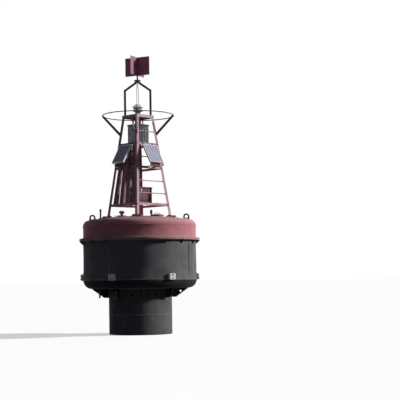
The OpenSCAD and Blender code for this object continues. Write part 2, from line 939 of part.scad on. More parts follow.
module hoop() {
    color("#74272b")
        translate([0, 0, z_plat])
            rotate_extrude($fn = 180) translate([hoop_r, 0]) circle(d = hoop_rod);
}

// Flat struts in the four corner planes, from the legs' corners out to the hoop
module hoop_struts() {
    root_h = z_plat - strut_drop - z_foot;
    slope = atan2(strut_drop, hoop_r - leg_r(root_h));
    rise_half = strut_w / 2 / cos(slope);
    end_x = strut_w / 2 * sin(slope);
    end_z = strut_w / 2 * cos(slope);
    color("#5b2226")
        difference() {
            for (a = corners)
                radial_plate(a, strut_t)
                    polygon([
                        [leg_r(root_h - rise_half) - leg_t, z_foot + root_h - rise_half],
                        [hoop_r + end_x, z_plat - end_z],
                        [hoop_r - end_x, z_plat + end_z],
                        [leg_r(root_h + rise_half) - leg_t, z_foot + root_h + rise_half]
                    ]);
            for (a = corners)
                leg(a);
            hoop();
        }
}

// The outline of the folded reflector: points on two circles in turn
module fold_outline(r_out, r_in) {
    polygon([
        for (i = [0 : 2 * refl_n - 1])
            let (r = i % 2 == 0 ? r_out : r_in, a = i * 180 / refl_n)
                [r * cos(a), r * sin(a)]
    ]);
}

module radar_reflector() {
    z0 = z_plat - refl_gap - refl_h;
    wall_r = refl_d / 2 - refl_rim;
    color("#7b8084")
        translate([0, 0, z0]) {
            translate([0, 0, refl_h - refl_t]) cylinder(d = refl_d, h = refl_t);
            cylinder(d = refl_d - refl_rim, h = refl_t);
            linear_extrude(refl_h - refl_t / 2) fold_outline(wall_r, wall_r - refl_fold);
        }
}

module reflector_hangers() {
    color("#5b2226")
        for (a = corners)
            at_azimuth(a + 45)
                translate([hanger_r, 0, z_plat - refl_gap])
                    cylinder(d = hanger_d, h = refl_gap - plat_t);
}

// Lantern

module lantern_base() {
    color("#d5d2c6")
        translate([0, 0, z_plat + lamp_seat]) {
            cylinder(d = lamp_foot_d, h = lamp_foot_t);
            cylinder(d = lamp_stem_d, h = lamp_stem_h);
            translate([0, 0, lamp_stem_h]) cylinder(d = lamp_ring_d, h = lamp_ring_t);
        }
}

module lantern_lens() {
    color("#d8dfe0")
        translate([0, 0, z_lens]) cylinder(d = lamp_lens_d, h = lamp_lens_h);
}

// A round rod of diameter d from point p to point q
module rod(p, q, d) {
    way = q - p;
    translate(p)
        rotate([0, acos(way.z / norm(way)), atan2(way.y, way.x)])
            cylinder(d = d, h = norm(way));
}

// A place beside the battery box, in the box's own directions
function by_box(x, y) = [
    x * cos(box_turn) - y * sin(box_turn),
    x * sin(box_turn) + y * cos(box_turn)
];

// Rigid conduit: from under the platform to the near leg, down inside it and into the box
module lantern_conduit() {
    leg_in = (leg_r(conduit_low) - conduit_in) / sqrt(2);
    entry = box_w / 2 - conduit_entry;
    level = z_foot + conduit_low;
    path = [
        [conduit_at.x, conduit_at.y, z_plat - plat_t],
        [conduit_at.x, conduit_at.y, z_top - conduit_bend],
        [0, conduit_in - leg_r(conduit_up), z_foot + conduit_up],
        [0, conduit_in - leg_r(conduit_low), level],
        [each by_box(entry, -leg_in), level],
        [each by_box(entry, -box_w / 2), level]
    ];
    color("#cfccc2") {
        for (i = [1 : len(path) - 1])
            rod(path[i - 1], path[i], conduit_d);
        for (i = [1 : len(path) - 2])
            translate(path[i]) sphere(d = conduit_ball_d);
    }
}

module lantern_cap() {
    color("#cfccc2")
        translate([0, 0, z_lens + lamp_lens_h]) {
            cylinder(d = lamp_d, h = lamp_brim_t);
            translate([0, 0, lamp_brim_t])
                intersection() {
                    translate([0, 0, lamp_cap_h - dome_r]) sphere(dome_r);
                    cylinder(r = dome_r - lamp_brim_t, h = lamp_cap_h);
                }
        }
}

// Guard and topmark

module guard_bars() {
    half = guard_w / 2;
    // A bar's level end stays inside the hub's edge
    hub_edge = 4;
    hub_in = hub_d / 2 - guard_w - hub_edge;
    // The bar keeps its width on the slope, so its inner side bends lower and ends lower
    slope = atan2(guard_rise, guard_r + half - hub_in - guard_w);
    bend = guard_w * (1 - sin(slope)) / cos(slope);
    inner_rise = (guard_r - half - hub_in) * tan(slope);
    color("#5b2226")
        for (a = corners)
            radial_plate(a, guard_t)
                polygon([
                    [guard_r - half, z_plat],
                    [guard_r + half, z_plat],
                    [guard_r + half, z_plat + guard_h],
                    [hub_in + guard_w, z_hub],
                    [hub_in, z_hub],
                    [hub_in, z_plat + guard_h - bend + inner_rise],
                    [guard_r - half, z_plat + guard_h - bend]
                ]);
}

// The hub: two round plates on a core, between the guard bars and the mast
module hub_flange() {
    color("#5b2226")
        translate([0, 0, z_hub]) {
            cylinder(d = hub_d, h = hub_plate_t);
            cylinder(d = hub_core_d, h = hub_t);
            translate([0, 0, hub_t - hub_plate_t]) cylinder(d = hub_d, h = hub_plate_t);
        }
}

module topmark_mast() {
    color("#5b2226") translate([0, 0, z_mast]) cylinder(d = mast_d, h = mast_h);
}

module topmark_plate_a() {
    color("#7d2b2e")
        at_azimuth(mark_turn)
            translate([-mark_w / 2, -mark_t / 2, z_mark]) cube([mark_w, mark_t, mark_h]);
}

module topmark_plate_b() {
    color("#7d2b2e")
        at_azimuth(mark_turn + 90)
            for (s = [0, 180])
                rotate([0, 0, s])
                    translate([mark_t / 2, -mark_t / 2, z_mark])
                        cube([mark_w / 2 - mark_t / 2, mark_t, mark_h]);
}

hull_bottom();
hull_drum();
rub_ring();
ring_gussets();
deck_shell();
anodes();
tail_tube();
mooring_brackets();
shackle_bow_front();
shackle_pin_front();
shackle_bow_side();
shackle_pin_side();
lifting_eyes();
deck_hatch();
deck_vent();
deck_post();
sounding_cap();
foot_plates();
leg_near();
leg_right();
leg_far();
leg_left();
low_beams();
mid_beams();
high_beams();
ladder_rungs();
cladding_slats();
shelf_bars();
battery_box();
battery_lid();
lid_hinge_pin();
panel_frames();
panel_cells();
panel_brackets();
platform();
hoop();
hoop_struts();
radar_reflector();
reflector_hangers();
lantern_base();
lantern_lens();
lantern_cap();
lantern_conduit();
guard_bars();
hub_flange();
topmark_mast();
topmark_plate_a();
topmark_plate_b();
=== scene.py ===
"""Looks of the navigation light buoy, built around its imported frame.

Lengths are in metres, in the frame's own axes: +Z is up and the viewed side is -Y. Only mm(), lifted()
and slab() take millimetres.
Azimuths are in degrees from +X towards +Y, so the tower's near corner is at -90.
"""

import math
import random

import bmesh
import bpy
from mathutils import Matrix, Vector, noise


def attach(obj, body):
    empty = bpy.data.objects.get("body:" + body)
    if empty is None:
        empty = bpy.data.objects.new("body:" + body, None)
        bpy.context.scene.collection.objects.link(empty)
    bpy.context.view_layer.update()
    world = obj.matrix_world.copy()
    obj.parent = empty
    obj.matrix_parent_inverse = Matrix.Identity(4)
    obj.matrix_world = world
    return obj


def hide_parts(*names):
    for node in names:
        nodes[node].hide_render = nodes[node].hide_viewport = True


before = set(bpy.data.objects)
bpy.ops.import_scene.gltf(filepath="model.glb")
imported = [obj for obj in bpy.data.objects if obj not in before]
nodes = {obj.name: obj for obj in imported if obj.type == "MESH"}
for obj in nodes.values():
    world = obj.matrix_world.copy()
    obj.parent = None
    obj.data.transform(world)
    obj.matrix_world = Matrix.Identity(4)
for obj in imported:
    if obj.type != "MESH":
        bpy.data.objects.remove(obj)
noise.seed_set(4)
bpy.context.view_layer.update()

# The photograph: its width, the focal length and the places it is measured by, in pixels
PHOTO_W = 400
FOCAL_PX = 1150
HORIZON_Y = 278
BUOY_X = 140.2
# The camera's place: eye height, distance and azimuth as seen from the buoy, and its roll
EYE_Z = 1.17
DISTANCE = 24.5
SIGHT_AZIMUTH = -86
ROLL = math.radians(-0.8)
SENSOR_MM = 36

# Lights: the sun's azimuth, elevation, strength and spread, and the light from all round
SUN = (5, 22, 3.5, 7)
SUN_COLOUR = (1.0, 0.975, 0.955)
WORLD_LIGHT = 0.075
WORLD_COLOUR = (0.62, 0.64, 1.0)
FLOOR_BOUNCE = 0.10
FLOOR_GLOW = 0.56

# Sizes that the pieces are fitted to, as the CAD part has them
HULL_R = 1.2
TAIL_R = 0.67
HOLE_R = TAIL_R + 0.195
HOLE_Z = 0.902
BRACKET_TURN = -79
SHACKLES = (("shackle_front", -124), ("shackle_side", -169))
Z_FLAT = 0.97
BOTTOM_KNUCKLE = 0.17
DECK_KNUCKLE = 0.13
CROWN_H = 0.09
Z_DRUM = Z_FLAT + BOTTOM_KNUCKLE
Z_BILGE = Z_DRUM + 0.02
Z_RING = 1.97
Z_HEAD = 2.03
Z_SHOULDER = 2.285
Z_EDGE = Z_SHOULDER + DECK_KNUCKLE
Z_CROWN = Z_EDGE + CROWN_H
CROWN_BASE = HULL_R - DECK_KNUCKLE
CROWN_R = (CROWN_BASE ** 2 + CROWN_H ** 2) / (2 * CROWN_H)
SEAM_R = 0.86
PAD_R = 0.68
PAD_W = 0.206
PAD_TOP = 2.49
HATCH_AT = (0.4, -0.43)
VENT_AT = (-0.336, -0.43)
POST_AT = (-0.8, -0.25)
CAP_AT = (0.292, -0.64)
Z_FOOT = 2.506
TOWER_H = 2.072
FOOT_R = 0.682
TOP_R = 0.336
LEG_W = 0.063
LEG_T = 0.006
BEAM_W = 0.05
BEAMS_UP = (0.205, 0.985, 1.485)
Z_TOP = Z_FOOT + TOWER_H
Z_PLAT = Z_TOP + 0.062
PLAT_T = 0.006
FACE_LOW = FOOT_R / math.sqrt(2)
FACE_TOP = TOP_R / math.sqrt(2)
FACE_LEAN = math.atan((FACE_LOW - FACE_TOP) / TOWER_H)
CORNERS = (-90, 0, 90, 180)
FACES = (-45, 45, 135, 225)
CLAD_FACES = ((135, 1), (225, -1))
PANEL_W = 0.37
PANEL_L = 0.445
PANEL_T = 0.038
PANEL_RIM = 0.014
PANEL_TILT = math.radians(31)
PANEL_OFF = 0.022
PANEL_UP = 1.465
BOX_W = 0.38
BOX_H = 0.34
CONDUIT_X = FACE_TOP * -0.52
CONDUIT_Y = FACE_TOP * -0.78
CONDUIT_IN = 0.06
CONDUIT_LOW = 0.46
CONDUIT_UP = 1.605
HOOP_R = 0.752
STRUT_DROP = 0.4
REFLECTOR_R = 0.2375
REFLECTOR_H = 0.378
REFLECTOR_Z = Z_PLAT - 0.206 - REFLECTOR_H
LAMP_Z = Z_PLAT + 0.0001
LENS_Z = LAMP_Z + 0.106
LENS_H = 0.066
GUARD_R = 0.271
GUARD_H = 0.546
HUB_Z = Z_PLAT + GUARD_H + 0.158
MARK_TURN = -25
MARK_Z = 5.49
MARK_W = 0.584
MARK_H = 0.39

# Smallest angle between two faces that is shaded as an edge
SHARP = math.radians(35)
# Width of the bevels on CAD nodes that are shown as they are
SOFT_EDGE = 0.0015
ORIGIN = Matrix()


def polar(radius, azimuth, z):
    """The point at a radius, azimuth and height."""
    a = math.radians(azimuth)
    return Vector((radius * math.cos(a), radius * math.sin(a), z))


# Camera, lamps and floor


def show(name, data):
    """Puts a camera, a lamp or a mesh into the scene."""
    made = bpy.data.objects.new(name, data)
    bpy.context.scene.collection.objects.link(made)
    return made


def make_camera():
    """A level telephoto view. The buoy stands left of the picture's middle, so it is panned past it."""
    pan = math.atan((PHOTO_W / 2 - BUOY_X) / FOCAL_PX)
    data = bpy.data.cameras.new("camera")
    data.sensor_width = SENSOR_MM
    data.lens = FOCAL_PX * SENSOR_MM / PHOTO_W
    data.shift_y = (HORIZON_Y - PHOTO_W / 2) / PHOTO_W
    camera = show("camera", data)
    heading = math.radians(SIGHT_AZIMUTH + 90) - pan
    camera.matrix_world = (
        Matrix.Translation(polar(DISTANCE, SIGHT_AZIMUTH, EYE_Z))
        @ Matrix.Rotation(heading, 4, "Z")
        @ Matrix.Rotation(math.radians(90), 4, "X")
        @ Matrix.Rotation(ROLL, 4, "Z")
    )
    bpy.context.scene.camera = camera


def make_lamp(name, setting, colour):
    """A sun lamp; its setting is its azimuth, elevation, strength and spread."""
    azimuth, elevation, strength, spread = setting
    data = bpy.data.lights.new(name, "SUN")
    data.energy = strength
    data.angle = math.radians(spread)
    data.color = colour
    show(name, data).rotation_euler = (math.radians(90 - elevation), 0, math.radians(azimuth + 90))


class Graph:
    """A shader graph that is written as short calls."""

    def __init__(self, tree):
        self.tree = tree

    def plug(self, socket, value):
        """Links another node's output to a socket or sets its value; a colour may leave out its alpha."""
        if isinstance(value, bpy.types.NodeSocket):
            self.tree.links.new(value, socket)
        elif socket.type == "RGBA":
            socket.default_value = (*value, 1.0)
        else:
            socket.default_value = value

    def node(self, kind, inputs=None, **settings):
        """A node with its settings and inputs."""
        made = self.tree.nodes.new("ShaderNode" + kind)
        for key, value in settings.items():
            setattr(made, key, value)
        for key, value in (inputs or {}).items():
            self.plug(made.inputs[key], value)
        return made

    def span(self, value, low, high, to_low=0.0, to_high=1.0):
        """value mapped from one range to another, smoothly and clamped."""
        made = self.node("MapRange", {
            "Value": value, "From Min": low, "From Max": high, "To Min": to_low, "To Max": to_high,
        }, interpolation_type="SMOOTHSTEP")
        return made.outputs["Result"]

    def maths(self, operation, a, b=0.0, clamp=False):
        return self.node("Math", {0: a, 1: b}, operation=operation, use_clamp=clamp).outputs[0]

    def times(self, a, b):
        return self.maths("MULTIPLY", a, b)

    def most(self, a, b):
        return self.maths("MAXIMUM", a, b)

    def mix(self, amount, a, b):
        """Colour a where amount is 0 and b where it is 1."""
        return self.node("Mix", {"Factor": amount, 6: a, 7: b}, data_type="RGBA").outputs[2]

    def seen(self):
        """1 where the camera sees the surface, also in a reflection or through glass."""
        rays = self.node("LightPath").outputs
        return self.most(self.most(rays["Is Camera Ray"], rays["Is Glossy Ray"]),
                         rays["Is Transmission Ray"])


def make_world():
    """Soft light from all round, and plain white where the camera sees past the floor."""
    world = bpy.data.worlds.new("studio")
    bpy.context.scene.world = world
    world.use_nodes = True
    world.node_tree.nodes.clear()
    g = Graph(world.node_tree)
    seen = g.seen()
    back = g.node("Background", {
        "Color": g.mix(seen, WORLD_COLOUR, (1.0, 1.0, 1.0)), "Strength": g.span(seen, 0, 1, WORLD_LIGHT, 1),
    })
    g.node("OutputWorld", {"Surface": back.outputs["Background"]})


class Mat(Graph):
    """A material and its graph."""

    def __init__(self, name):
        self.material = bpy.data.materials.new(name)
        self.material.use_nodes = True
        super().__init__(self.material.node_tree)
        self.shader = self.tree.nodes["Principled BSDF"]
        self.coords = self.node("TexCoord").outputs["Object"]

    def noise(self, scale, detail=5.0, rough=0.55, warp=0.0, stretch=None):
        """Noise from 0 to 1; stretch scales the object's coordinates by (x, y, z)."""
        vector = self.coords
        if stretch:
            vector = self.node("Mapping", {"Vector": vector, "Scale": stretch}).outputs["Vector"]
        return self.node("TexNoise", {
            "Vector": vector, "Scale": scale, "Detail": detail, "Roughness": rough, "Distortion": warp,
        }).outputs["Fac"]

    def facing_up(self):
        """How far the surface faces up, from -1 to 1."""
        normal = self.node("NewGeometry").outputs["Normal"]
        return self.node("SeparateXYZ", {0: normal}).outputs["Z"]

    def edges(self, radius):
        """1 at the edges of the shape, fading out over a radius, and broken up by noise."""
        soft = self.node("Bevel", {"Radius": radius}, samples=4).outputs["Normal"]
        true = self.node("NewGeometry").outputs["Normal"]
        same = self.node("VectorMath", {0: soft, 1: true}, operation="DOT_PRODUCT").outputs["Value"]
        return self.times(self.span(same, 0.995, 0.86), self.span(self.noise(38.0, 6.0, 0.7), 0.40, 0.62))

    def bump(self, height, distance, strength=1.0, under=None):
        inputs = {"Height": height, "Distance": distance, "Strength": strength}
        if under is not None:
            inputs["Normal"] = under
        return self.node("Bump", inputs).outputs["Normal"]

    def set(self, colour, rough, gloss, normal=None, **inputs):
        """Fills in the shader; its other sockets are named with _ for a space."""
        inputs.update(Base_Color=colour, Roughness=rough, Specular_IOR_Level=gloss)
        if normal is not None:
            inputs["Normal"] = normal
        for key, value in inputs.items():
            self.plug(self.shader.inputs[key.replace("_", " ")], value)
        return self.material


RUST = (0.17, 0.060, 0.028)


def scaled(colour, factor):
    return tuple(min(1.0, c * factor) for c in colour)


def weathered_paint(name, base, dust, fade=0.16, dusty=0.5, streaks=0.35, rust=0.25, rough=0.55, grain=26.0,
                    wear=0.5, gloss=0.16):
    """Old paint: faded in patches, dusty on top, streaked down its sides, rusty at its chips and edges."""
    m = Mat(name)
    patches = m.span(m.noise(1.7, 5.0, 0.62, 0.4), 0.3, 0.7)
    colour = m.mix(patches, scaled(base, 1 - fade), scaled(base, 1 + fade))
    blotches = m.span(m.noise(7.0, 6.0, 0.65, 0.3), 0.42, 0.68)
    colour = m.mix(m.times(blotches, 0.28), colour, scaled(base, 0.62))
    speckle = m.span(m.noise(grain * 4, 3.0), 0.4, 0.8)
    colour = m.mix(m.times(speckle, 0.22), colour, scaled(base, 0.45))
    runs = m.span(m.noise(1.0, 6.0, 0.6, 0.0, (9.0, 9.0, 0.45)), 0.46, 0.72)
    runs = m.times(runs, m.span(m.noise(1.0, 4.0, 0.5, 0.0, (34.0, 34.0, 0.9)), 0.3, 0.7))
    colour = m.mix(m.times(runs, streaks), colour, scaled(dust, 0.8))
    dark_runs = m.span(m.noise(1.0, 5.0, 0.6, 0.0, (15.0, 15.0, 0.6)), 0.55, 0.75)
    colour = m.mix(m.times(dark_runs, streaks), colour, scaled(base, 0.45))
    settled = m.times(m.span(m.noise(5.0, 6.0, 0.65), 0.22, 0.62), dusty)
    film = m.times(m.span(m.facing_up(), 0.12, 0.8), settled)
    colour = m.mix(film, colour, dust)
    chips = m.span(m.noise(grain, 8.0, 0.7, 0.4), 0.59, 0.64)
    chips = m.times(m.times(chips, m.span(m.noise(2.3, 5.0, 0.6, 0.5), 0.50, 0.70)), rust)
    bare = m.most(chips, m.times(m.edges(0.006), wear))
    rust_tone = m.mix(m.span(m.noise(40.0, 5.0), 0.3, 0.7), RUST, scaled(RUST, 0.5))
    colour = m.mix(bare, colour, rust_tone)
    dull = m.span(m.noise(12.0, 4.0), 0.2, 0.8, rough - 0.06, rough + 0.14)
    dull = m.maths("ADD", dull, m.times(film, 0.3), True)
    normal = m.bump(bare, 0.0015, -0.6, m.bump(m.noise(grain * 3, 4.0), 0.0010, 0.5))
    return m.set(colour, dull, gloss, normal)


def bare_metal(name, base, rough=0.45, tarnish=0.35, metallic=0.6, stain=(0.20, 0.17, 0.14)):
    """Dull metal with stains, fine scratches and pits."""
    m = Mat(name)
    brushed = m.span(m.noise(1.0, 3.0, 0.5, 0.0, (90.0, 90.0, 6.0)), 0.3, 0.8)
    spots = m.span(m.noise(18.0, 6.0, 0.65, 0.3), 0.4, 0.72)
    colour = m.mix(m.times(spots, tarnish), base, stain)
    colour = m.mix(m.times(brushed, 0.22), colour, scaled(base, 0.6))
    normal = m.bump(m.noise(60.0, 5.0), 0.0010, 0.5)
    return m.set(colour, m.span(spots, 0.0, 1.0, rough, rough + 0.25), 0.4, normal, Metallic=metallic)


def zinc_block(name):
    """Cast zinc: pale, chalky and pitted."""
    m = Mat(name)
    chalk = m.span(m.noise(14.0, 6.0, 0.65), 0.3, 0.7)
    colour = m.mix(chalk, (0.82, 0.81, 0.79), (0.97, 0.96, 0.94))
    pits = m.span(m.noise(70.0, 4.0, 0.6), 0.28, 0.45)
    colour = m.mix(pits, (0.45, 0.44, 0.43), colour)
    normal = m.bump(pits, 0.004, 0.8, m.bump(m.noise(22.0, 5.0), 0.006, 0.6))
    return m.set(colour, m.span(chalk, 0.0, 1.0, 0.62, 0.85), 0.4, normal)


def rusty_iron(name):
    """Forged iron with a brown skin of rust and worn patches."""
    m = Mat(name)
    patch = m.span(m.noise(16.0, 7.0, 0.7, 0.4), 0.35, 0.65)
    colour = m.mix(patch, (0.060, 0.046, 0.040), (0.17, 0.080, 0.045))
    worn = m.span(m.noise(45.0, 5.0, 0.6), 0.62, 0.75)
    colour = m.mix(worn, colour, (0.24, 0.20, 0.17))
    normal = m.bump(m.noise(60.0, 7.0, 0.7), 0.0025, 0.9)
    return m.set(colour, m.span(patch, 0.0, 1.0, 0.6, 0.9), 0.2, normal, Metallic=0.2)


def solar_cells(name):
    """Blue cells in columns under glass with a pale film, partly dust and partly painted glare, and silver
    lines along the panel's own axes.
    """
    m = Mat(name)
    uv = m.node("SeparateXYZ", {0: m.node("UVMap", uv_map="cells").outputs["UV"]}).outputs
    across, down = uv["X"], uv["Y"]

    def lines(value, count, width):
        edge = m.maths("ABSOLUTE", m.maths("SUBTRACT", m.maths("FRACT", m.times(value, count)), 0.5))
        return m.maths("GREATER_THAN", edge, 0.5 - width)

    crystal = m.node("TexVoronoi", {"Vector": m.coords, "Scale": 55.0}).outputs["Color"]
    grains = m.node("SeparateXYZ", {0: crystal}).outputs["X"]
    colour = m.mix(grains, (0.08, 0.12, 0.40), (0.13, 0.18, 0.52))
    # The pale film is partly dust and partly painted reflection: it stands in for the glare of the sky on
    # the glass.
    film = m.span(m.noise(7.0, 6.0, 0.65), 0.25, 0.75, 0.33, 0.53)
    colour = m.mix(film, colour, (0.62, 0.59, 0.57))
    gaps = m.most(lines(across, 5, 0.07), lines(down, 9, 0.015))
    busbars = lines(m.maths("ADD", across, 0.125), 8, 0.035)
    silver = m.most(m.times(busbars, 0.6), m.times(lines(down, 90, 0.12), 0.2))
    silver = m.most(silver, m.times(gaps, 0.85))
    colour = m.mix(silver, colour, (0.84, 0.85, 0.88))
    return m.set(colour, m.span(m.noise(9.0), 0.3, 0.7, 0.3, 0.5), 0.05)


def lantern_glass(name):
    """Clear ribbed plastic that has gone milky."""
    m = Mat(name)
    haze = m.span(m.noise(16.0, 5.0), 0.3, 0.7)
    colour = m.mix(haze, (0.82, 0.84, 0.85), (0.70, 0.70, 0.66))
    return m.set(colour, m.span(haze, 0.0, 1.0, 0.14, 0.35), 0.5, Transmission_Weight=0.6, IOR=1.49)


def pale_plastic(name, base, dirt=(0.36, 0.31, 0.25), sheen=0.0):
    """Pale plastic with a dirty top and dull runs, and more or less of a silvery sheen."""
    m = Mat(name)
    dirty = m.times(m.span(m.facing_up(), 0.2, 1.0), m.span(m.noise(20.0, 6.0), 0.3, 0.7))
    colour = m.mix(m.times(dirty, 0.4), base, dirt)
    runs = m.span(m.noise(1.0, 5.0, 0.6, 0.0, (40.0, 40.0, 4.0)), 0.5, 0.8)
    colour = m.mix(m.times(runs, 0.35), colour, scaled(base, 0.62))
    normal = m.bump(m.noise(90.0, 3.0), 0.0006, 0.4)
    return m.set(colour, m.span(runs, 0.0, 1.0, 0.38, 0.6), 0.3, normal, Metallic=sheen)


def black_rubber(name):
    """Dull black rubber or plastic with dust in its grain."""
    m = Mat(name)
    dusty = m.span(m.noise(30.0, 6.0), 0.35, 0.75)
    colour = m.mix(m.times(dusty, 0.35), (0.022, 0.022, 0.024), (0.12, 0.11, 0.10))
    normal = m.bump(m.noise(120.0, 3.0), 0.0008, 0.5)
    return m.set(colour, m.span(dusty, 0.0, 1.0, 0.55, 0.8), 0.2, normal)


RED_DUST = (0.62, 0.46, 0.42)
DECK_RED = (0.60, 0.235, 0.275)
TOWER_RED = (0.60, 0.37, 0.42)
DRUM_BLACK = (0.155, 0.160, 0.165)
DRUM_DUST = (0.30, 0.29, 0.27)



def make_finishes():
    """Every finish by a plain name: the record's slot that it belongs to, and its material."""
    black, red, tower = "hull_paint_black", "hull_paint_red", "tower_paint_red"
    cap, rusty = "lamp_cap_white", {"grain": 40.0}
    # Finish, slot, material, paint, dust, (fade, dusty, streaks, rust, rough) and what differs further
    paints = (
        ("drum", black, "drum_black", DRUM_BLACK, DRUM_DUST, (0.22, 0.5, 0.3, 0.25, 0.7), {"gloss": 0.06}),
        ("drum_weld", black, "drum_weld", scaled(DRUM_BLACK, 1.25), DRUM_DUST, (0.2, 0.6, 0.2, 0.9), rusty),
        ("bottom", black, "bottom_black", (0.030, 0.030, 0.031), (0.08, 0.075, 0.07),
         (0.3, 0.3, 0.3, 0.5, 0.75), {"gloss": 0.04}),
        ("tail", "tail_paint", "tail_black", (0.115, 0.118, 0.119), (0.20, 0.18, 0.165),
         (0.28, 0.3, 0.45, 0.5, 0.7), {"gloss": 0.06}),
        ("deck", red, "deck_red", DECK_RED, RED_DUST, (0.13, 0.8, 0.35, 0.25, 0.62), {"gloss": 0.08}),
        ("deck_weld", red, "deck_weld", scaled(DECK_RED, 1.05), RED_DUST, (0.2, 0.6, 0.2, 0.8), rusty),
        ("fitting", red, "fitting_red", (0.33, 0.13, 0.16), RED_DUST, (0.2, 0.5, 0.3, 0.6, 0.6),
         {"gloss": 0.1}),
        ("vent", red, "vent_red", scaled(DECK_RED, 0.9), RED_DUST, (0.2, 0.5, 0.3, 0.3, 0.55), {}),
        # The battery box's darker red is painted shade: it stands in for the shade inside the tower, not a
        # different paint.
        ("box", red, "box_red_painted_shade", (0.19, 0.10, 0.12), RED_DUST, (0.16, 0.4, 0.3, 0.5, 0.55), {"gloss": 0.1}),
        ("tower", tower, "tower_red", TOWER_RED, RED_DUST, (0.16, 0.5, 0.35, 0.4, 0.55), {"gloss": 0.09}),
        ("tower_weld", tower, "tower_weld", scaled(TOWER_RED, 0.8), RED_DUST, (0.2, 0.5, 0.2, 0.9), rusty),
        ("platform", tower, "platform_red", (0.78, 0.55, 0.63), (0.70, 0.56, 0.56),
         (0.12, 0.5, 0.3, 0.3, 0.55), {"gloss": 0.08}),
        ("bolt", tower, "bolt_red", scaled(TOWER_RED, 0.6), RED_DUST, (0.2, 0.4, 0.1, 1.0),
         {"grain": 60.0, "wear": 0.8}),
        # The slats' red at half the tower's is painted shade: it stands in for the shade on the cladding
        # inside the tower.
        ("slats", tower, "slat_red_painted_shade", scaled(TOWER_RED, 0.5), scaled(RED_DUST, 0.8),
         (0.2, 0.4, 0.45, 0.5, 0.6), {"gloss": 0.1}),
        ("dark_red", tower, "dark_red", (0.24, 0.155, 0.205), RED_DUST, (0.2, 0.5, 0.3, 0.5, 0.55), {}),
        # The brackets' dark red is painted shade: it stands in for the shadow under the panels' lower edges.
        ("bracket", tower, "bracket_red_painted_shade", (0.17, 0.065, 0.075), RED_DUST, (0.2, 0.3, 0.3, 0.5, 0.55),
         {"gloss": 0.1}),
        ("mark", tower, "topmark_red", (0.42, 0.16, 0.26), RED_DUST, (0.2, 0.5, 0.4, 0.4, 0.5),
         {"gloss": 0.3}),
        ("ring", "ring_paint", "ring_tan", (0.45, 0.32, 0.27), (0.50, 0.41, 0.35),
         (0.25, 0.6, 0.5, 0.8, 0.65), {"wear": 0.9, "gloss": 0.05}),
    )
    made = {finish: (slot, weathered_paint(name, base, dust, *amounts, **more))
            for finish, slot, name, base, dust, amounts, more in paints}
    reflector = bare_metal("reflector_grey", (0.145, 0.145, 0.175), 0.72, 0.35, 1.0)
    alu = bare_metal("panel_aluminium", (0.90, 0.90, 0.92), 0.42, 0.15, 0.1, (0.5, 0.47, 0.43))
    made.update({
        "zinc": ("anode_zinc", zinc_block("zinc")),
        "iron": ("shackle_steel", rusty_iron("rusty_iron")),
        "steel": ("bright_steel", bare_metal("dull_steel", (0.46, 0.46, 0.45))),
        "reflector": ("reflector_metal", reflector),
        "alu": ("panel_frame_metal", alu),
        "cells": ("panel_cell_glass", solar_cells("solar_cells")),
        "lens": ("lamp_lens", lantern_glass("lantern_lens")),
        "cap": (cap, pale_plastic("lantern_cap", (0.74, 0.74, 0.77), sheen=0.45)),
        "stem": (cap, pale_plastic("lantern_stem", (0.13, 0.125, 0.12), (0.20, 0.18, 0.15))),
        "plastic": (cap, pale_plastic("back_sheet", (0.72, 0.72, 0.72))),
        "pipe": (cap, pale_plastic("conduit_pipe", (0.55, 0.53, 0.51))),
        "rubber": ("fitting_black", black_rubber("black_rubber")),
    })
    return made


def make_floor():
    """A plain pale floor that sends little light back up. It glows faintly for the camera."""
    mesh = bpy.data.meshes.new("floor")
    reach = 400.0
    mesh.from_pydata([(-reach, -reach, 0), (reach, -reach, 0), (reach, reach, 0), (-reach, reach, 0)],
                     [], [(0, 1, 2, 3)])
    m = Mat("floor_pale")
    seen = m.seen()
    pale = m.mix(m.span(m.noise(0.6, 3.0), 0.3, 0.7), (0.88, 0.88, 0.87), (0.92, 0.92, 0.91))
    colour = m.mix(seen, (FLOOR_BOUNCE, FLOOR_BOUNCE, FLOOR_BOUNCE), pale)
    mesh.materials.append(m.set(colour, 0.9, 0.0, Emission_Color=(1.0, 1.0, 1.0),
                                Emission_Strength=m.times(seen, FLOOR_GLOW)))
    show("floor", mesh)


# The CAD nodes by finish
NODE_FINISH = {
    "bottom": "hull_bottom mooring_brackets",
    "drum": "hull_drum ring_gussets",
    "ring": "rub_ring",
    "deck": "deck_shell",
    "zinc": "anodes",
    "tail": "tail_tube",
    "iron": "shackle_bow_front shackle_pin_front shackle_bow_side shackle_pin_side",
    "fitting": "lifting_eyes deck_hatch foot_plates",
    "vent": "deck_vent",
    "rubber": "deck_post sounding_cap",
    "tower": "leg_near leg_right leg_far leg_left low_beams mid_beams high_beams ladder_rungs",
    "slats": "cladding_slats",
    "dark_red": "shelf_bars hoop hoop_struts reflector_hangers guard_bars hub_flange topmark_mast",
    "box": "battery_box battery_lid",
    "steel": "lid_hinge_pin",
    "alu": "panel_frames",
    "cells": "panel_cells",
    "bracket": "panel_brackets",
    "platform": "platform",
    "reflector": "radar_reflector",
    "stem": "lantern_base",
    "lens": "lantern_lens",
    "cap": "lantern_cap",
    "pipe": "lantern_conduit",
    "mark": "topmark_plate_a topmark_plate_b",
}
SOFTENED = (
    "ring_gussets mooring_brackets lifting_eyes deck_hatch foot_plates leg_near leg_right leg_far leg_left "
    "low_beams mid_beams high_beams cladding_slats shelf_bars battery_box panel_brackets platform "
    "hoop_struts guard_bars hub_flange shackle_bow_front shackle_pin_front shackle_bow_side shackle_pin_side"
)


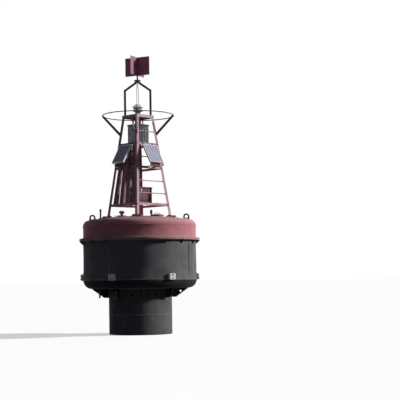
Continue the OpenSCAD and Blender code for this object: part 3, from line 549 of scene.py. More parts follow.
def paint_nodes():
    """Gives the CAD nodes their finishes."""
    for finish, names in NODE_FINISH.items():
        material = finishes[finish][1]
        for name in names.split():
            node = nodes[name]
            if not node.data.materials:
                node.data.materials.append(material)
            for index in range(len(node.data.materials)):
                node.data.materials[index] = material
            for slot in node.material_slots:
                slot.material = material


def mm(*points):
    """Points that are written in millimetres."""
    return [tuple(c / 1000 for c in point) for point in points]


def lifted(base, *points):
    """A profile of (radius, height over a base), written in millimetres."""
    return [(r, base + z) for r, z in mm(*points)]


def disc(radius, low, high):
    """The profile of a round block."""
    return [(0, low), (radius, low), (radius, high), (0, high)]


class Shape:
    """A mesh that is built up in place, in metres."""

    def __init__(self):
        self.mesh = bmesh.new()

    def plate(self, outline, thick, place=ORIGIN):
        """An outline drawn in XY, from z = 0 to its thickness."""
        n = len(outline)
        made = [self.mesh.verts.new(place @ Vector((x, y, z))) for z in (0, thick) for x, y in outline]
        self.mesh.faces.new(made[:n])
        self.mesh.faces.new(made[n:])
        self.join_rings(made[:n], made[n:])

    def join_rings(self, low, high):
        """Faces between two rings of vertices; a ring of one vertex is a pole."""
        steps = max(len(low), len(high))
        for i in range(steps):
            j = (i + 1) % steps
            corners = [low[i % len(low)], low[j % len(low)], high[j % len(high)], high[i % len(high)]]
            self.mesh.faces.new(list(dict.fromkeys(corners)))

    def join_all(self, rings, loop):
        for low, high in zip(rings, rings[1:]):
            self.join_rings(low, high)
        if loop:
            self.join_rings(rings[-1], rings[0])

    def turned(self, profile, place=ORIGIN, steps=48, loop=False, change=None):
        """A profile of (radius, height) turned about Z. change(angle, r, z) may move each point."""
        rings = []
        for r, z in profile:
            if r == 0:
                rings.append([self.mesh.verts.new(place @ Vector((0, 0, z)))])
                continue
            ring = []
            for i in range(steps):
                a = 2 * math.pi * i / steps
                r_here, z_here = change(a, r, z) if change else (r, z)
                point = Vector((r_here * math.cos(a), r_here * math.sin(a), z_here))
                ring.append(self.mesh.verts.new(place @ point))
            rings.append(ring)
        self.join_all(rings, loop)

    def tube(self, path, radius, steps=8, place=ORIGIN, loop=False, rough=0.0, rng=None):
        """A round bar along a path, its radius varied by a share of rough."""
        path = [place @ Vector(point) for point in path]
        count = len(path)
        side = None
        rings = []
        for i, point in enumerate(path):
            ahead = path[(i + 1) % count] - path[i - 1]
            if not loop:
                ahead = path[min(i + 1, count - 1)] - path[max(i - 1, 0)]
            ahead.normalize()
            side = side or ahead.orthogonal()
            side = (side - ahead * side.dot(ahead)).normalized()
            up = ahead.cross(side)
            r = radius * (1 + rough * rng.uniform(-1, 1)) if rng else radius
            ring = []
            for k in range(steps):
                t = 2 * math.pi * k / steps
                ring.append(self.mesh.verts.new(point + (side * math.cos(t) + up * math.sin(t)) * r))
            rings.append(ring)
        self.join_all(rings, loop)
        if not loop:
            self.mesh.faces.new(rings[0])
            self.mesh.faces.new(rings[-1])

    def block(self, low, high, place=ORIGIN, edge=0.002, cuts=(1, 1, 1), wear=0.0, seed=0):
        """A box with rounded edges. cuts are its inner divisions; wear moves its skin in and out."""
        half = [(b - a) / 2 for a, b in zip(low, high)]
        middle = Vector([(a + b) / 2 for a, b in zip(low, high)])
        edge = min(edge, *half)
        lines = []
        for h, n in zip(half, cuts):
            inner = [-(h - edge) + 2 * (h - edge) * i / n for i in range(n + 1)]
            lines.append([-h, -h + 0.35 * edge, *inner, h - 0.35 * edge, h])
        made = {}

        def vertex(i, j, k):
            if (i, j, k) in made:
                return made[i, j, k]
            point = Vector((lines[0][i], lines[1][j], lines[2][k]))
            core = Vector([max(-(h - edge), min(h - edge, c)) for c, h in zip(point, half)])
            out = point - core
            if out.length > edge:
                out = out.normalized() * edge
            point = core + out
            if wear:
                shake = noise.noise_vector((point + middle) * 18 + Vector((seed, seed, seed)))
                point += shake * wear
            made[i, j, k] = self.mesh.verts.new(place @ (point + middle))
            return made[i, j, k]

        last = [len(line) - 1 for line in lines]
        for axis in range(3):
            a, b = [n for n in range(3) if n != axis]
            for end in (0, last[axis]):
                for i in range(last[a]):
                    for j in range(last[b]):
                        face = []
                        for di, dj in ((0, 0), (1, 0), (1, 1), (0, 1)):
                            index = [0, 0, 0]
                            index[axis] = end
                            index[a] = i + di
                            index[b] = j + dj
                            face.append(vertex(*index))
                        self.mesh.faces.new(face)

    def slab(self, low, high, place, edge=2.0):
        """A block that is written in millimetres."""
        self.block(*mm(low, high), place, edge / 1000)

    def bolt(self, place, size=0.010):
        """A washer and a hexagon head on the plane z = 0 of place; size is the head's radius."""
        self.turned(disc(1.35 * size, 0, 0.18 * size), place, 14)
        head = ((0, 0.18), (1, 0.18), (1, 0.75), (0.85, 0.88), (0, 0.88))
        self.turned([(r * size, z * size) for r, z in head], place, 6)

    def rivet(self, place, size=0.006):
        """A round rivet head on the plane z = 0 of place."""
        profile = ((0, 0), (1, 0), (0.85, 0.4), (0.45, 0.6), (0, 0.65))
        self.turned([(r * size, z * size) for r, z in profile], place, 9)


def piece(name, shape, finish, stands_for=(), body="buoy"):
    """Makes a shape into a shown piece that rides on a body, in place of the CAD nodes it stands for."""
    slot, material = finishes[finish]
    mesh = bpy.data.meshes.new(name)
    bmesh.ops.recalc_face_normals(shape.mesh, faces=shape.mesh.faces)
    for face in shape.mesh.faces:
        face.smooth = True
    for edge in shape.mesh.edges:
        edge.smooth = edge.is_manifold and edge.calc_face_angle(0) < SHARP
    shape.mesh.to_mesh(mesh)
    shape.mesh.free()
    mesh.materials.append(material)
    made = show(name, mesh)
    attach(made, body)
    if stands_for:
        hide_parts(*stands_for)


def turn(azimuth):
    """Turns +X to an azimuth."""
    return Matrix.Rotation(math.radians(azimuth), 4, "Z")


def move(x, y, z):
    return Matrix.Translation((x, y, z))


def facing(direction):
    """Turns +Z to a direction."""
    return Vector(direction).to_track_quat("Z", "Y").to_matrix().to_4x4()


OUT = facing((1, 0, 0))
DOWN = facing((0, 0, -1))
UPRIGHT = Matrix.Rotation(math.radians(90), 4, "X")


def on_face(azimuth):
    """A tower face: +X leaves it, +Y runs along it and +Z climbs its slope."""
    return turn(azimuth) @ move(FACE_LOW, 0, Z_FOOT) @ Matrix.Rotation(-FACE_LEAN, 4, "Y")


def climb(h):
    """Distance up a face's slope at a height over the foot plates."""
    return h / math.cos(FACE_LEAN)


def half_w(h):
    """Half the width of a face at a height over the foot plates."""
    return FACE_LOW + (FACE_TOP - FACE_LOW) * h / TOWER_H


def leg_r(h):
    """Distance of a leg's outer corner from the axis."""
    return math.sqrt(2) * half_w(h)


def on_panel(azimuth):
    """The top edge of a panel's back: +X leaves the panel's front and -Z runs down it."""
    tilt = Matrix.Rotation(-(PANEL_TILT - FACE_LEAN), 4, "Y")
    return on_face(azimuth) @ move(PANEL_OFF, 0, climb(PANEL_UP)) @ tilt


def deck_z(r):
    """Height of the deck's crown at a radius."""
    return Z_CROWN - CROWN_R + math.sqrt(CROWN_R ** 2 - r ** 2)


def arc(centre, radius, start, end, steps):
    """Points (r, z) on an arc between two angles in degrees."""
    angles = [math.radians(start + (end - start) * i / steps) for i in range(steps + 1)]
    return [(centre[0] + radius * math.cos(a), centre[1] + radius * math.sin(a)) for a in angles]


def levels(low, high, count):
    """Evenly spaced values from low to high."""
    return [low + (high - low) * i / count for i in range(count + 1)]


def ring_path(radius, z, steps):
    """The points of a level circle."""
    return [polar(radius, 360 * i / steps, z) for i in range(steps)]


# Hull


class Dents:
    """Shallow dents in a plated shell, and the dish of its plates between the frames inside."""

    def __init__(self, seed, count, depth, z_low, z_high, frames=18, dish=0.0022):
        rng = random.Random(seed)
        self.frames = frames
        self.dish = dish
        self.spots = [
            (rng.uniform(0, 2 * math.pi), rng.uniform(z_low, z_high), rng.uniform(0.07, 0.24),
             rng.uniform(0.3, 1.0) * depth)
            for _ in range(count)
        ]

    def at(self, angle, radius, height):
        """How far the skin is pushed in."""
        push = self.dish * (0.5 - 0.5 * math.cos(self.frames * angle))
        for a, z, size, depth in self.spots:
            across = math.remainder(angle - a, 2 * math.pi) * radius
            away = (across ** 2 + (height - z) ** 2) / size ** 2
            if away < 6:
                push += depth * math.exp(-away)
        return push


def hull_drum():
    """The drum's plated wall."""
    dents = Dents(11, 60, 0.006, Z_DRUM, Z_RING)
    shape = Shape()
    rows = levels(Z_DRUM, Z_HEAD, 22)
    profile = [(0, Z_DRUM), *[(HULL_R, z) for z in rows], (0, Z_HEAD)]

    def change(angle, r, z):
        fade = min(1.0, 12 * (z - Z_DRUM), 12 * max(0.0, Z_RING - z))
        return r - fade * dents.at(angle, r, z), z

    shape.turned(profile, steps=288, change=change)
    piece("hull_drum_plating", shape, "drum", ["hull_drum"])


def hull_bottom():
    """The dished bottom with its rounded edge."""
    shape = Shape()
    corner = arc((HULL_R - BOTTOM_KNUCKLE, Z_DRUM), BOTTOM_KNUCKLE, -90, 0, 12)
    shape.turned([(0, Z_FLAT), (0.5, Z_FLAT), *corner, (0, Z_DRUM)], steps=192)
    piece("hull_bottom_plating", shape, "bottom", ["hull_bottom"])


def deck_shell():
    """The deck shell: wall, rounded edge and crown, with the four pads under the tower's feet."""
    dents = Dents(23, 46, 0.005, Z_HEAD, Z_SHOULDER)
    crown_dents = random.Random(5)
    dips = [(crown_dents.uniform(-1, 1), crown_dents.uniform(-1, 1), crown_dents.uniform(0.1, 0.25))
            for _ in range(26)]
    wall = [(HULL_R, z) for z in levels(Z_HEAD, Z_SHOULDER, 9)]
    edge = arc((CROWN_BASE, Z_SHOULDER), DECK_KNUCKLE, 0, 90, 10)[1:]
    crown = [(r, deck_z(r)) for r in levels(CROWN_BASE, 0.05, 24)[1:]]

    def change(angle, r, z):
        if z < Z_SHOULDER:
            fade = min(1.0, 12 * (z - Z_HEAD), 12 * (Z_SHOULDER - z))
            return r - fade * dents.at(angle, r, z), z
        if r >= CROWN_BASE:
            return r, z
        x, y = r * math.cos(angle), r * math.sin(angle)
        dip = sum(0.004 * math.exp(-((x - a) ** 2 + (y - b) ** 2) / s ** 2) for a, b, s in dips)
        return r, z - dip * min(1.0, 8 * (CROWN_BASE - r))

    shape = Shape()
    shape.turned([(0, Z_HEAD), *wall, *edge, *crown, (0, Z_CROWN)], steps=288, change=change)
    half = PAD_W / 2
    for a in CORNERS:
        shape.block((PAD_R - half, -half, Z_EDGE), (PAD_R + half, half, PAD_TOP), turn(a), 0.006)
    piece("deck_plating", shape, "deck", ["deck_shell"])


def rub_ring():
    """The rub ring: a band with worn, rounded edges that has been knocked here and there."""
    out, r_edge = 0.088, 0.014
    knocks = Dents(31, 70, 0.007, Z_RING, Z_HEAD, 36, 0.0016)

    def change(angle, r, z):
        outer = max(0.0, (r - HULL_R - 0.04) / (out - 0.04))
        return r - outer * knocks.at(angle, r, z), z

    rim = HULL_R + out - r_edge
    profile = [
        (HULL_R, Z_RING), (HULL_R + out / 2, Z_RING), *arc((rim, Z_RING + r_edge), r_edge, -90, 0, 4),
        (HULL_R + out, (Z_RING + Z_HEAD) / 2), *arc((rim, Z_HEAD - r_edge), r_edge, 0, 90, 4),
        (HULL_R + out / 2, Z_HEAD), (HULL_R, Z_HEAD),
    ]
    shape = Shape()
    shape.turned(profile, steps=288, loop=True, change=change)
    piece("rub_ring_band", shape, "ring", ["rub_ring"])


def hull_welds():
    """Weld beads round the drum and the deck, and down their plates' seams."""
    rng = random.Random(3)
    black, red = Shape(), Shape()

    def bead(shape, path, loop=False, radius=0.0065, rough=0.15):
        shape.tube(path, radius, 7, loop=loop, rough=rough, rng=rng)

    for shape, radius, z in ((black, HULL_R, Z_BILGE), (black, HULL_R, Z_RING - 0.002),
                             (red, HULL_R, Z_SHOULDER), (red, HULL_R, Z_HEAD + 0.002),
                             (red, CROWN_BASE, Z_EDGE)):
        bead(shape, ring_path(radius, z, 240), True, rough=0.12)
    for a in (-118, -28, 62, 152):
        bead(black, [polar(HULL_R, a, z) for z in levels(Z_BILGE, Z_RING, 40)])
    for a in (-100, 20, 140):
        bead(red, [polar(HULL_R, a, z) for z in levels(Z_HEAD, Z_SHOULDER, 14)])
        bead(red, [polar(r, a, deck_z(r)) for r in levels(SEAM_R, CROWN_BASE, 14)])
    bead(red, ring_path(SEAM_R, deck_z(SEAM_R), 200), True, rough=0.12)
    bead(black, ring_path(TAIL_R, Z_FLAT - 0.004, 160), True, 0.010)
    bead(black, ring_path(TAIL_R, 0.42, 160), True, rough=0.12)
    piece("hull_weld_beads", black, "drum_weld")
    piece("deck_weld_beads", red, "deck_weld")


def anodes():
    """Cast zinc blocks, pitted and rounded by the sea, each on a strap with two studs."""
    blocks, straps = Shape(), Shape()
    face = HULL_R + 0.0575
    for i in range(6):
        place = turn(-54 + 60 * i)
        blocks.block((HULL_R - 0.012, -0.0745, Z_DRUM + 0.004), (face, 0.0745, Z_DRUM + 0.136),
                     place, 0.013, (5, 11, 10), 0.0042, 7 * i)
        for z in (0.035, 0.105):
            stud = place @ move(face, 0, Z_DRUM + z) @ OUT
            straps.turned(disc(0.013, 0, 0.005), stud, 16)
            straps.turned(disc(0.0075, 0, 0.012), stud, 6)
        straps.slab((-10, -14.5, -30), (8, 14.5, 170), place @ move(HULL_R, 0, Z_DRUM))
    piece("anode_blocks", blocks, "zinc", ["anodes"])
    piece("anode_straps", straps, "iron")


# Mooring and tail tube


def mooring_details():
    """Weld fillets at the brackets, and washers, nuts and split pins on the shackles."""
    rng = random.Random(8)
    fillets = Shape()
    hole = move(HOLE_R, 0, HOLE_Z)
    boss = mm((22, -13.5), (32, -13.5), (34, -12), (34, 12), (32, 13.5), (22, 13.5))
    for i in range(8):
        place = turn(BRACKET_TURN + 45 * i)
        for y in (-0.012, 0.012):
            wall = [(TAIL_R + 0.001, y, z) for z in levels(Z_FLAT - 0.19, Z_FLAT - 0.01, 9)]
            roof = [(x, y, Z_FLAT - 0.001) for x in levels(TAIL_R + 0.01, TAIL_R + 0.345, 14)]
            for path in (wall, roof):
                fillets.tube(path, 0.007, 6, place, rough=0.15, rng=rng)
        fillets.turned(boss, place @ hole @ facing((0, 1, 0)), 24, loop=True)
    piece("bracket_welds", fillets, "drum_weld")
    for body, a in SHACKLES:
        shape = Shape()
        pin = turn(a) @ hole
        for s in (-1, 1):
            rim = pin @ move(0, s * 0.049, 0) @ facing((0, s, 0))
            shape.turned(mm((22.5, -1), (31, -1), (31, 2), (22.5, 2)), rim, 24, loop=True)
        nut = pin @ move(0, -0.061, 0) @ facing((0, -1, 0))
        shape.turned(mm((0, 0), (14, 0), (14, 10), (11, 13), (0, 13)), nut, 16)
        ring = [(0.0165 * math.cos(t), 0.004 * math.sin(2 * t), 0.006 + 0.0165 * math.sin(t))
                for t in levels(0, 2 * math.pi, 20)[:-1]]
        shape.tube(ring, 0.0018, 6, nut, True)
        piece(body + "_details", shape, "iron", body=body)


# Deck fittings


def deck_fittings():
    """Hatch bolts and handle, the mushroom vent, the post, the sounding cap and the eyes' fillets."""
    rng = random.Random(9)
    shape = Shape()
    x, y = HATCH_AT
    top = deck_z(math.hypot(x, y) - 0.125) + 0.012
    for i in range(12):
        shape.bolt(move(x, y, 0) @ move(*polar(0.113, 30 * i + 10, top)), 0.008)
    cover = move(x, y, top + 0.012)
    grip = mm((-50, 0, -2), (-50, 0, 18), (-40, 0, 29), (40, 0, 29), (50, 0, 18), (50, 0, -2))
    shape.tube(grip, 0.006, place=cover)
    shape.turned(mm((98, -6), (107, -6), (104, 0), (98, 0)), cover, loop=True)
    for start, end in ((-1.06, -0.933), (0.933, 1.06)):
        for y in (-0.012, 0.012):
            row = [(x, y, deck_z(min(CROWN_BASE, abs(x))) + 0.001) for x in levels(start, end, 8)]
            shape.tube(row, 0.006, 6, rough=0.15, rng=rng)
    piece("deck_fitting_details", shape, "fitting")

    x, y = VENT_AT
    base = deck_z(math.hypot(x, y))
    vent = Shape()
    vent.turned(lifted(
        base, (0, -20), (104, -20), (104, 11), (101, 14), (40, 14), (34, 20), (32, 26), (32, 57), (45, 60),
        (56, 60), (58, 63), (58, 96), (55, 101), (45, 109), (26, 116), (12, 117.5), (0, 118),
    ), move(x, y, 0), 56)
    for i in range(8):
        vent.bolt(move(x, y, 0) @ move(*polar(0.084, 45 * i + 12, base + 0.014)), 0.008)
    piece("mushroom_vent", vent, "vent", ["deck_vent"])

    x, y = POST_AT
    post = Shape()
    post.turned([
        *lifted(deck_z(math.hypot(x, y)), (0, -20), (36, -20), (36, 8), (30, 14), (17.5, 16)),
        *lifted(Z_EDGE, (17.5, 185), (21, 187), (21, 223), (18, 232), (10, 235), (0, 235)),
    ], move(x, y, 0), 28)
    piece("deck_post_pipe", post, "rubber", ["deck_post"])

    x, y = CAP_AT
    profile = lifted(deck_z(math.hypot(x, y)), (0, -20), (26, -20), (26, 6), (20, 12), (14, 14))
    profile += lifted(Z_EDGE, (14, 98), (26, 100), (27, 102), (27, 120))
    for z in (130, 140, 150, 160):
        profile += lifted(Z_EDGE, (24.5, z - 6), (27, z - 3), (27, z))
    profile += lifted(Z_EDGE, (24, 174), (18, 179), (10, 180), (0, 180))
    cap = Shape()
    cap.turned(profile, move(x, y, 0), 32)
    piece("sounding_pipe_cap", cap, "rubber", ["sounding_cap"])


# Tower


def foot_details():
    """Four bolts on each foot plate, a stiffener up each leg and the welds round its foot."""
    shape, welds = Shape(), Shape()
    rng = random.Random(12)
    rib = mm((0, 0), (60, 0), (60, 12), (26, 85), (14, 85))
    for a in CORNERS:
        place = turn(a)
        for x in (-0.072, 0.072):
            for y in (-0.072, 0.072):
                shape.bolt(place @ move(FOOT_R - 0.097 + x, y, Z_FOOT), 0.013)
        shape.plate(rib, 0.008, place @ move(FOOT_R - LEG_T * 1.5, -0.004, Z_FOOT) @ turn(180) @ UPRIGHT)
        for s in (-1, 1):
            flange = place @ move(FOOT_R, 0, Z_FOOT + 0.002) @ turn(s * 135)
            welds.tube([(d, 0, 0) for d in levels(0.002, LEG_W, 6)], 0.0045, 6, flange, rough=0.2, rng=rng)
    piece("foot_bolts", shape, "fitting")
    piece("foot_welds", welds, "tower_weld")


def joint_bolts():
    """Bolts through the legs at each ring of beams and under the platform."""
    spots = [(half_w(h) - LEG_W / 2, climb(h)) for h in (1.93, 2.01)]
    for h in BEAMS_UP:
        edge = half_w(h + BEAM_W / 2) - LEG_W / 2
        spots += [(edge + d, climb(h) + BEAM_W / 2) for d in (-0.014, 0.014)]
    shape = Shape()
    for a in FACES:
        for s in (-1, 1):
            for y, z in spots:
                shape.bolt(on_face(a) @ move(0, s * y, z) @ OUT, 0.0085)
    piece("joint_bolts", shape, "bolt")


def slat_welds():
    """Short welds that hold the slats' ends to the beams, and the ladder's rungs to the legs."""
    shape = Shape()
    rng = random.Random(14)
    count, ratio = 4, 1.8
    gap = 2 / (count * ratio + count)
    for a, left in CLAD_FACES:
        for low_h, high_h in zip(BEAMS_UP, BEAMS_UP[1:]):
            for i in range(count):
                near = left * (1 - gap * (1 + i * (1 + ratio)))
                far = near - left * gap * ratio
                for h, up in ((low_h, climb(low_h) + BEAM_W + 0.001), (high_h, climb(high_h) - 0.001)):
                    w = half_w(h) - LEG_W
                    ends = levels((near * 0.98 + far * 0.02) * w, (near * 0.02 + far * 0.98) * w, 5)
                    row = [(0.0005 - LEG_T, y, up) for y in ends]
                    shape.tube(row, 0.0035, 6, on_face(a), rough=0.25, rng=rng)
    collar = mm((9.8, -2), (16, -1), (16.5, 3), (9.8, 6))
    for low_h, high_h, number in zip(BEAMS_UP, (*BEAMS_UP[1:], TOWER_H), (2, 1, 1)):
        for h in levels(low_h, high_h, number + 1)[1:-1]:
            for s in (-1, 1):
                end = on_face(-45) @ move(-LEG_T - 0.010, s * (half_w(h) - LEG_W), climb(h))
                shape.turned(collar, end @ facing((0, s, 0)), 16, loop=True)
    piece("slat_and_rung_welds", shape, "tower_weld")


def battery_box_details():
    """Latches, handles, corner rolls and a gland on the battery box, and the ribs of its lid."""
    shelf = Z_FOOT + BEAMS_UP[0] + BEAM_W * math.cos(FACE_LEAN) - 0.010 * math.sin(FACE_LEAN) + 0.008
    half = BOX_W / 2
    shape, steel, lid = Shape(), Shape(), Shape()
    box = turn(-45) @ move(0, 0, shelf + BOX_H)
    for y in (-0.11, 0.11):
        latch = box @ move(half, y, 0)
        steel.slab((0, -16, -115), (6, 16, -45), latch)
        steel.slab((4, -9, -105), (13, 9, -38), latch, 3)
        for z in (-0.108, -0.052):
            steel.rivet(latch @ move(0.006, 0, z) @ OUT, 0.0035)
        lid.slab((10, -12, -26), (16, 12, -8), latch)
    for s in (-1, 1):
        side = box @ move(0, s * half, 0)
        rise, reach = s * 22, s * 30
        grip = mm((-50, 0, 0), (-50, rise, 0), (-42, reach, 0), (42, reach, 0), (50, rise, 0), (50, 0, 0))
        steel.tube(grip, 0.005, place=side @ move(0, 0, -0.12))
        for x in (-50, 50):
            steel.slab((x - 12, s * 2 - 2, -140), (x + 12, s * 2 + 2, -100), side, 1.5)
        for x in (3 - half * 1000, half * 1000 - 3):
            shape.slab((x - 6, -6, 2 - BOX_H * 1000), (x + 6, 6, -40), side, 5)
        for x in levels(0.03 - half, half - 0.03, 6):
            for point, way in (((x, s * half), (0, s, 0)), ((s * half, x), (s, 0, 0))):
                shape.rivet(box @ move(*point, 0.02 - BOX_H) @ facing(way), 0.005)
        lid.slab((-140, s * 90 - 13, 3), (150, s * 90 + 13, 9.5), box, 3)
        lid.slab((-14, s * 131.5 - 28.5, 3), (12, s * 131.5 + 28.5, 9), box, 3)
    gland = turn(-45) @ move(half - 0.04, -half, Z_FOOT + CONDUIT_LOW) @ facing((0, -1, 0))
    shape.turned(mm((11, 0), (21, 0), (21, 10), (17, 14), (17, 22), (10.5, 26)), gland, 12, loop=True)
    lid.tube([(half + 0.009, y, -0.027) for y in (-half, half)], 0.0035, place=box)
    piece("battery_box_details", shape, "box")
    piece("battery_box_hardware", steel, "steel")
    piece("battery_lid_ribs", lid, "box", body="battery_lid")


# Solar panels


def panel_cells():
    """The cells under their glass, with the axes that their material draws its lines along."""
    cells = Shape()
    mesh = cells.mesh
    layer = mesh.loops.layers.uv.new("cells")
    inner, low, x = PANEL_W / 2 - PANEL_RIM, PANEL_RIM - PANEL_L, PANEL_T - 0.0035
    corners = [(-inner, low), (inner, low), (inner, -PANEL_RIM), (-inner, -PANEL_RIM)]
    faces = [[(x, y, z) for y, z in corners], [(x - 0.0025, y, z) for y, z in reversed(corners)]]
    for (y0, z0), (y1, z1) in zip(corners, corners[1:] + corners[:1]):
        faces.append([(x - 0.0025, y0, z0), (x - 0.0025, y1, z1), (x, y1, z1), (x, y0, z0)])
    for a in FACES:
        for points in faces:
            face = mesh.faces.new([mesh.verts.new(on_panel(a) @ Vector(p)) for p in points])
            for loop, (_, y, z) in zip(face.loops, points):
                loop[layer].uv = ((y + inner) / (2 * inner), (z - low) / (-PANEL_RIM - low))
    bmesh.ops.remove_doubles(mesh, verts=mesh.verts, dist=1e-5)
    piece("solar_cells", cells, "cells", ["panel_cells"])


def solar_panels():
    """Panel frames of folded section with a back sheet, rails and a junction box."""
    frames, backs, boxes = Shape(), Shape(), Shape()
    half = PANEL_W / 2
    gland = mm((0, 0), (8, 0), (8, 12), (5, 16), (0, 16))
    # Walls and the front and back lips: x range, width, inset, start of the cross bars, edge
    borders = (
        (0, PANEL_T, 0.0066, 0, 0.0022, 0.0012),
        (PANEL_T - 0.006, PANEL_T, PANEL_RIM, 0.001, PANEL_RIM, 0.001),
        (0, 0.0022, 0.024, 0.001, 0.024, 0.001),
    )
    for a in FACES:
        place = on_panel(a)
        for x0, x1, wide, inset, start, edge in borders:
            for y0, y1 in ((inset - half, wide - half), (half - wide, half - inset)):
                frames.block((x0, y0, inset - PANEL_L), (x1, y1, -inset), place, edge)
            for z0, z1 in ((inset - PANEL_L, wide - PANEL_L), (-wide, -inset)):
                frames.block((x0, start - half, z0), (x1, half - start, z1), place, edge)
        for z in (-0.08 * PANEL_L, -0.88 * PANEL_L):
            frames.block((0.0005, 0.004 - half, z - 0.026), (0.010, half - 0.004, z + 0.026), place)
        for s in (-1, 1):
            for z in (-0.03, -PANEL_L / 2, -PANEL_L + 0.03):
                frames.rivet(place @ move(PANEL_T / 2, s * half, z) @ facing((0, s, 0)), 0.0035)
        backs.block((0.0175, 0.006 - half, 0.006 - PANEL_L), (0.0215, half - 0.006, -0.006), place, 0.0005)
        boxes.slab((2, -55, -190), (18, 55, -110), place, 4)
        for y in (-0.03, 0.03):
            boxes.turned(gland, place @ move(0.010, y, -0.19) @ DOWN, 10)
    piece("panel_frame_profiles", frames, "alu", ["panel_frames"])
    piece("panel_back_sheets", backs, "plastic")
    piece("panel_junction_boxes", boxes, "rubber")


def panel_bracket_details():
    """Feet and bolts of the brackets behind and under each panel."""
    shape = Shape()
    tilt = PANEL_TILT - FACE_LEAN
    reach = PANEL_W / 2 - 0.05
    out = PANEL_OFF + PANEL_L * math.sin(tilt) - 0.03
    fall = (out + LEG_T) * math.tan(FACE_LEAN)
    low = climb(BEAMS_UP[1]) + BEAM_W - 0.007 - fall
    for a in FACES:
        face = on_face(a)
        for s in (-1, 1):
            back = on_panel(a) @ move(0, s * reach, -0.13 * PANEL_L)
            shape.slab((-6, -14, -20), (0.6, 14, 20), back, 1.5)
            shape.bolt(back @ move(-0.006, 0, -0.012) @ facing((-1, 0, 0)), 0.006)
            for h, y, top in ((BEAMS_UP[2], reach, 19), (BEAMS_UP[1], reach - 0.02, 9.5)):
                foot = face @ move(-LEG_T, s * y, climb(h) + BEAM_W / 2)
                shape.slab((-1, -22, -19), (5, 22, top), foot, 1.5)
                for dy in (-0.014, 0.014):
                    shape.bolt(foot @ move(0.005, dy, -0.004) @ OUT, 0.006)
            shape.bolt(face @ move(out, s * 0.08, low + 0.035) @ OUT, 0.0065)
        shape.block((out - 0.002, 0.001 - reach, low - 0.008), (out + 0.010, reach - 0.001, low - 0.004),
                    face, 0.001)
    piece("panel_bracket_feet", shape, "bracket")


# Platform, hoop and reflector


def platform_details():
    """Stiffeners and glands under the platform, and bolts through its rim."""
    shape, gland = Shape(), Shape()
    under = Z_PLAT - PLAT_T
    rim = FACE_TOP + 0.002
    reach = rim - PLAT_T
    for a in (45, 135):
        for x in (-0.09, 0.09):
            shape.block((x - 0.003, -reach, under - 0.036), (x + 0.003, reach, under), turn(a), 0.001)
    for a in FACES:
        for y in (-0.20, -0.12, 0.12, 0.20):
            shape.bolt(turn(a) @ move(rim, y, Z_TOP + 0.030) @ OUT, 0.0075)
    piece("platform_details", shape, "tower")
    gland.turned(mm((11, 0), (24, 0), (24, -12), (19, -16), (19, -30), (11, -34)),
                 move(CONDUIT_X, CONDUIT_Y, under), 12, loop=True)
    gland.turned(mm((0, 0), (40, 0), (40, -22), (31, -30), (31, -78), (22, -92), (0, -92)),
                 move(0.04, -0.03, under), 20)
    piece("platform_glands", gland, "rubber")


def hoop_details():
    """Clamps where the struts meet the hoop, the cleats at the struts' feet and the hoop's own joints."""
    shape, joints = Shape(), Shape()
    root_h = Z_PLAT - STRUT_DROP - Z_FOOT
    slope = math.atan2(STRUT_DROP, HOOP_R - leg_r(root_h))
    clamp = math.degrees(0.020 / HOOP_R)
    for a in CORNERS:
        shape.tube([polar(HOOP_R, d, Z_PLAT) for d in levels(-clamp, clamp, 4)], 0.0135, 12, turn(a))
        foot = turn(a) @ move(leg_r(root_h), 0, Z_FOOT + root_h) @ Matrix.Rotation(-slope, 4, "Y")
        for s in (-1, 1):
            side = foot @ move(0, 0.010 if s > 0 else -0.005, 0) @ UPRIGHT
            shape.plate(mm((-6, -21), (70, -19), (70, 19), (-6, 21)), 0.005, side)
            for x in (0.022, 0.054):
                shape.bolt(foot @ move(x, s * 0.010, 0) @ facing((0, s, 0)), 0.0065)
    piece("hoop_strut_fittings", shape, "dark_red")
    for a in FACES:
        joints.tube([polar(HOOP_R, a + d, Z_PLAT) for d in levels(-1.6, 1.6, 4)], 0.0122, 12)
    piece("hoop_joints", joints, "dark_red")


def radar_reflector():
    """A drum of folded sheet between two plates with turned-down rims, riveted to them."""
    shape, nuts = Shape(), Shape()
    low, top = REFLECTOR_Z, REFLECTOR_Z + REFLECTOR_H
    wall, fold, count = REFLECTOR_R - 0.016, 0.012, 24

    def folds(angle, r, z):
        phase = math.cos(count * angle)
        return r - fold * (0.5 - 0.5 * math.tanh(2.2 * phase) / math.tanh(2.2)), z

    heights = [low + 0.004, low + 0.012, *levels(low + 0.05, top - 0.05, 6), top - 0.012, top - 0.004]
    drum = [(0, heights[0]), *[(wall, z) for z in heights], (0, heights[-1])]
    shape.turned(drum, steps=count * 12, change=folds)
    for z, r in ((top - 0.012, REFLECTOR_R), (low, REFLECTOR_R - 0.008)):
        rim = [(r - d, z + up) for d, up in mm((4, 0), (1, 1), (0, 4), (0, 8), (1, 11), (4, 12))]
        shape.turned([(0, z), *rim, (0, z + 0.012)], steps=96)
    for i in range(count):
        for z, way in ((top, 1), (low, -1)):
            rivet = turn(360 / count * (i + 0.5)) @ move(wall - 0.016, 0, z)
            shape.rivet(rivet @ facing((0, 0, way)), 0.0045)
    band = [(wall + r, z) for r, z in mm((-4, -11), (1.5, -11), (1.5, 11), (-4, 11))]
    shape.turned(band, move(0, 0, low + 0.19), 96, loop=True)
    piece("reflector_folded_drum", shape, "reflector", ["radar_reflector"])
    for a in FACES:
        hanger = turn(a) @ move(0.14, 0, 0)
        nuts.bolt(hanger @ move(0, 0, top), 0.013)
        nuts.bolt(hanger @ move(0, 0, Z_PLAT - PLAT_T) @ DOWN, 0.013)
        nuts.bolt(hanger @ move(0, 0, Z_PLAT), 0.012)
    piece("hanger_nuts", nuts, "dark_red")


# Lantern


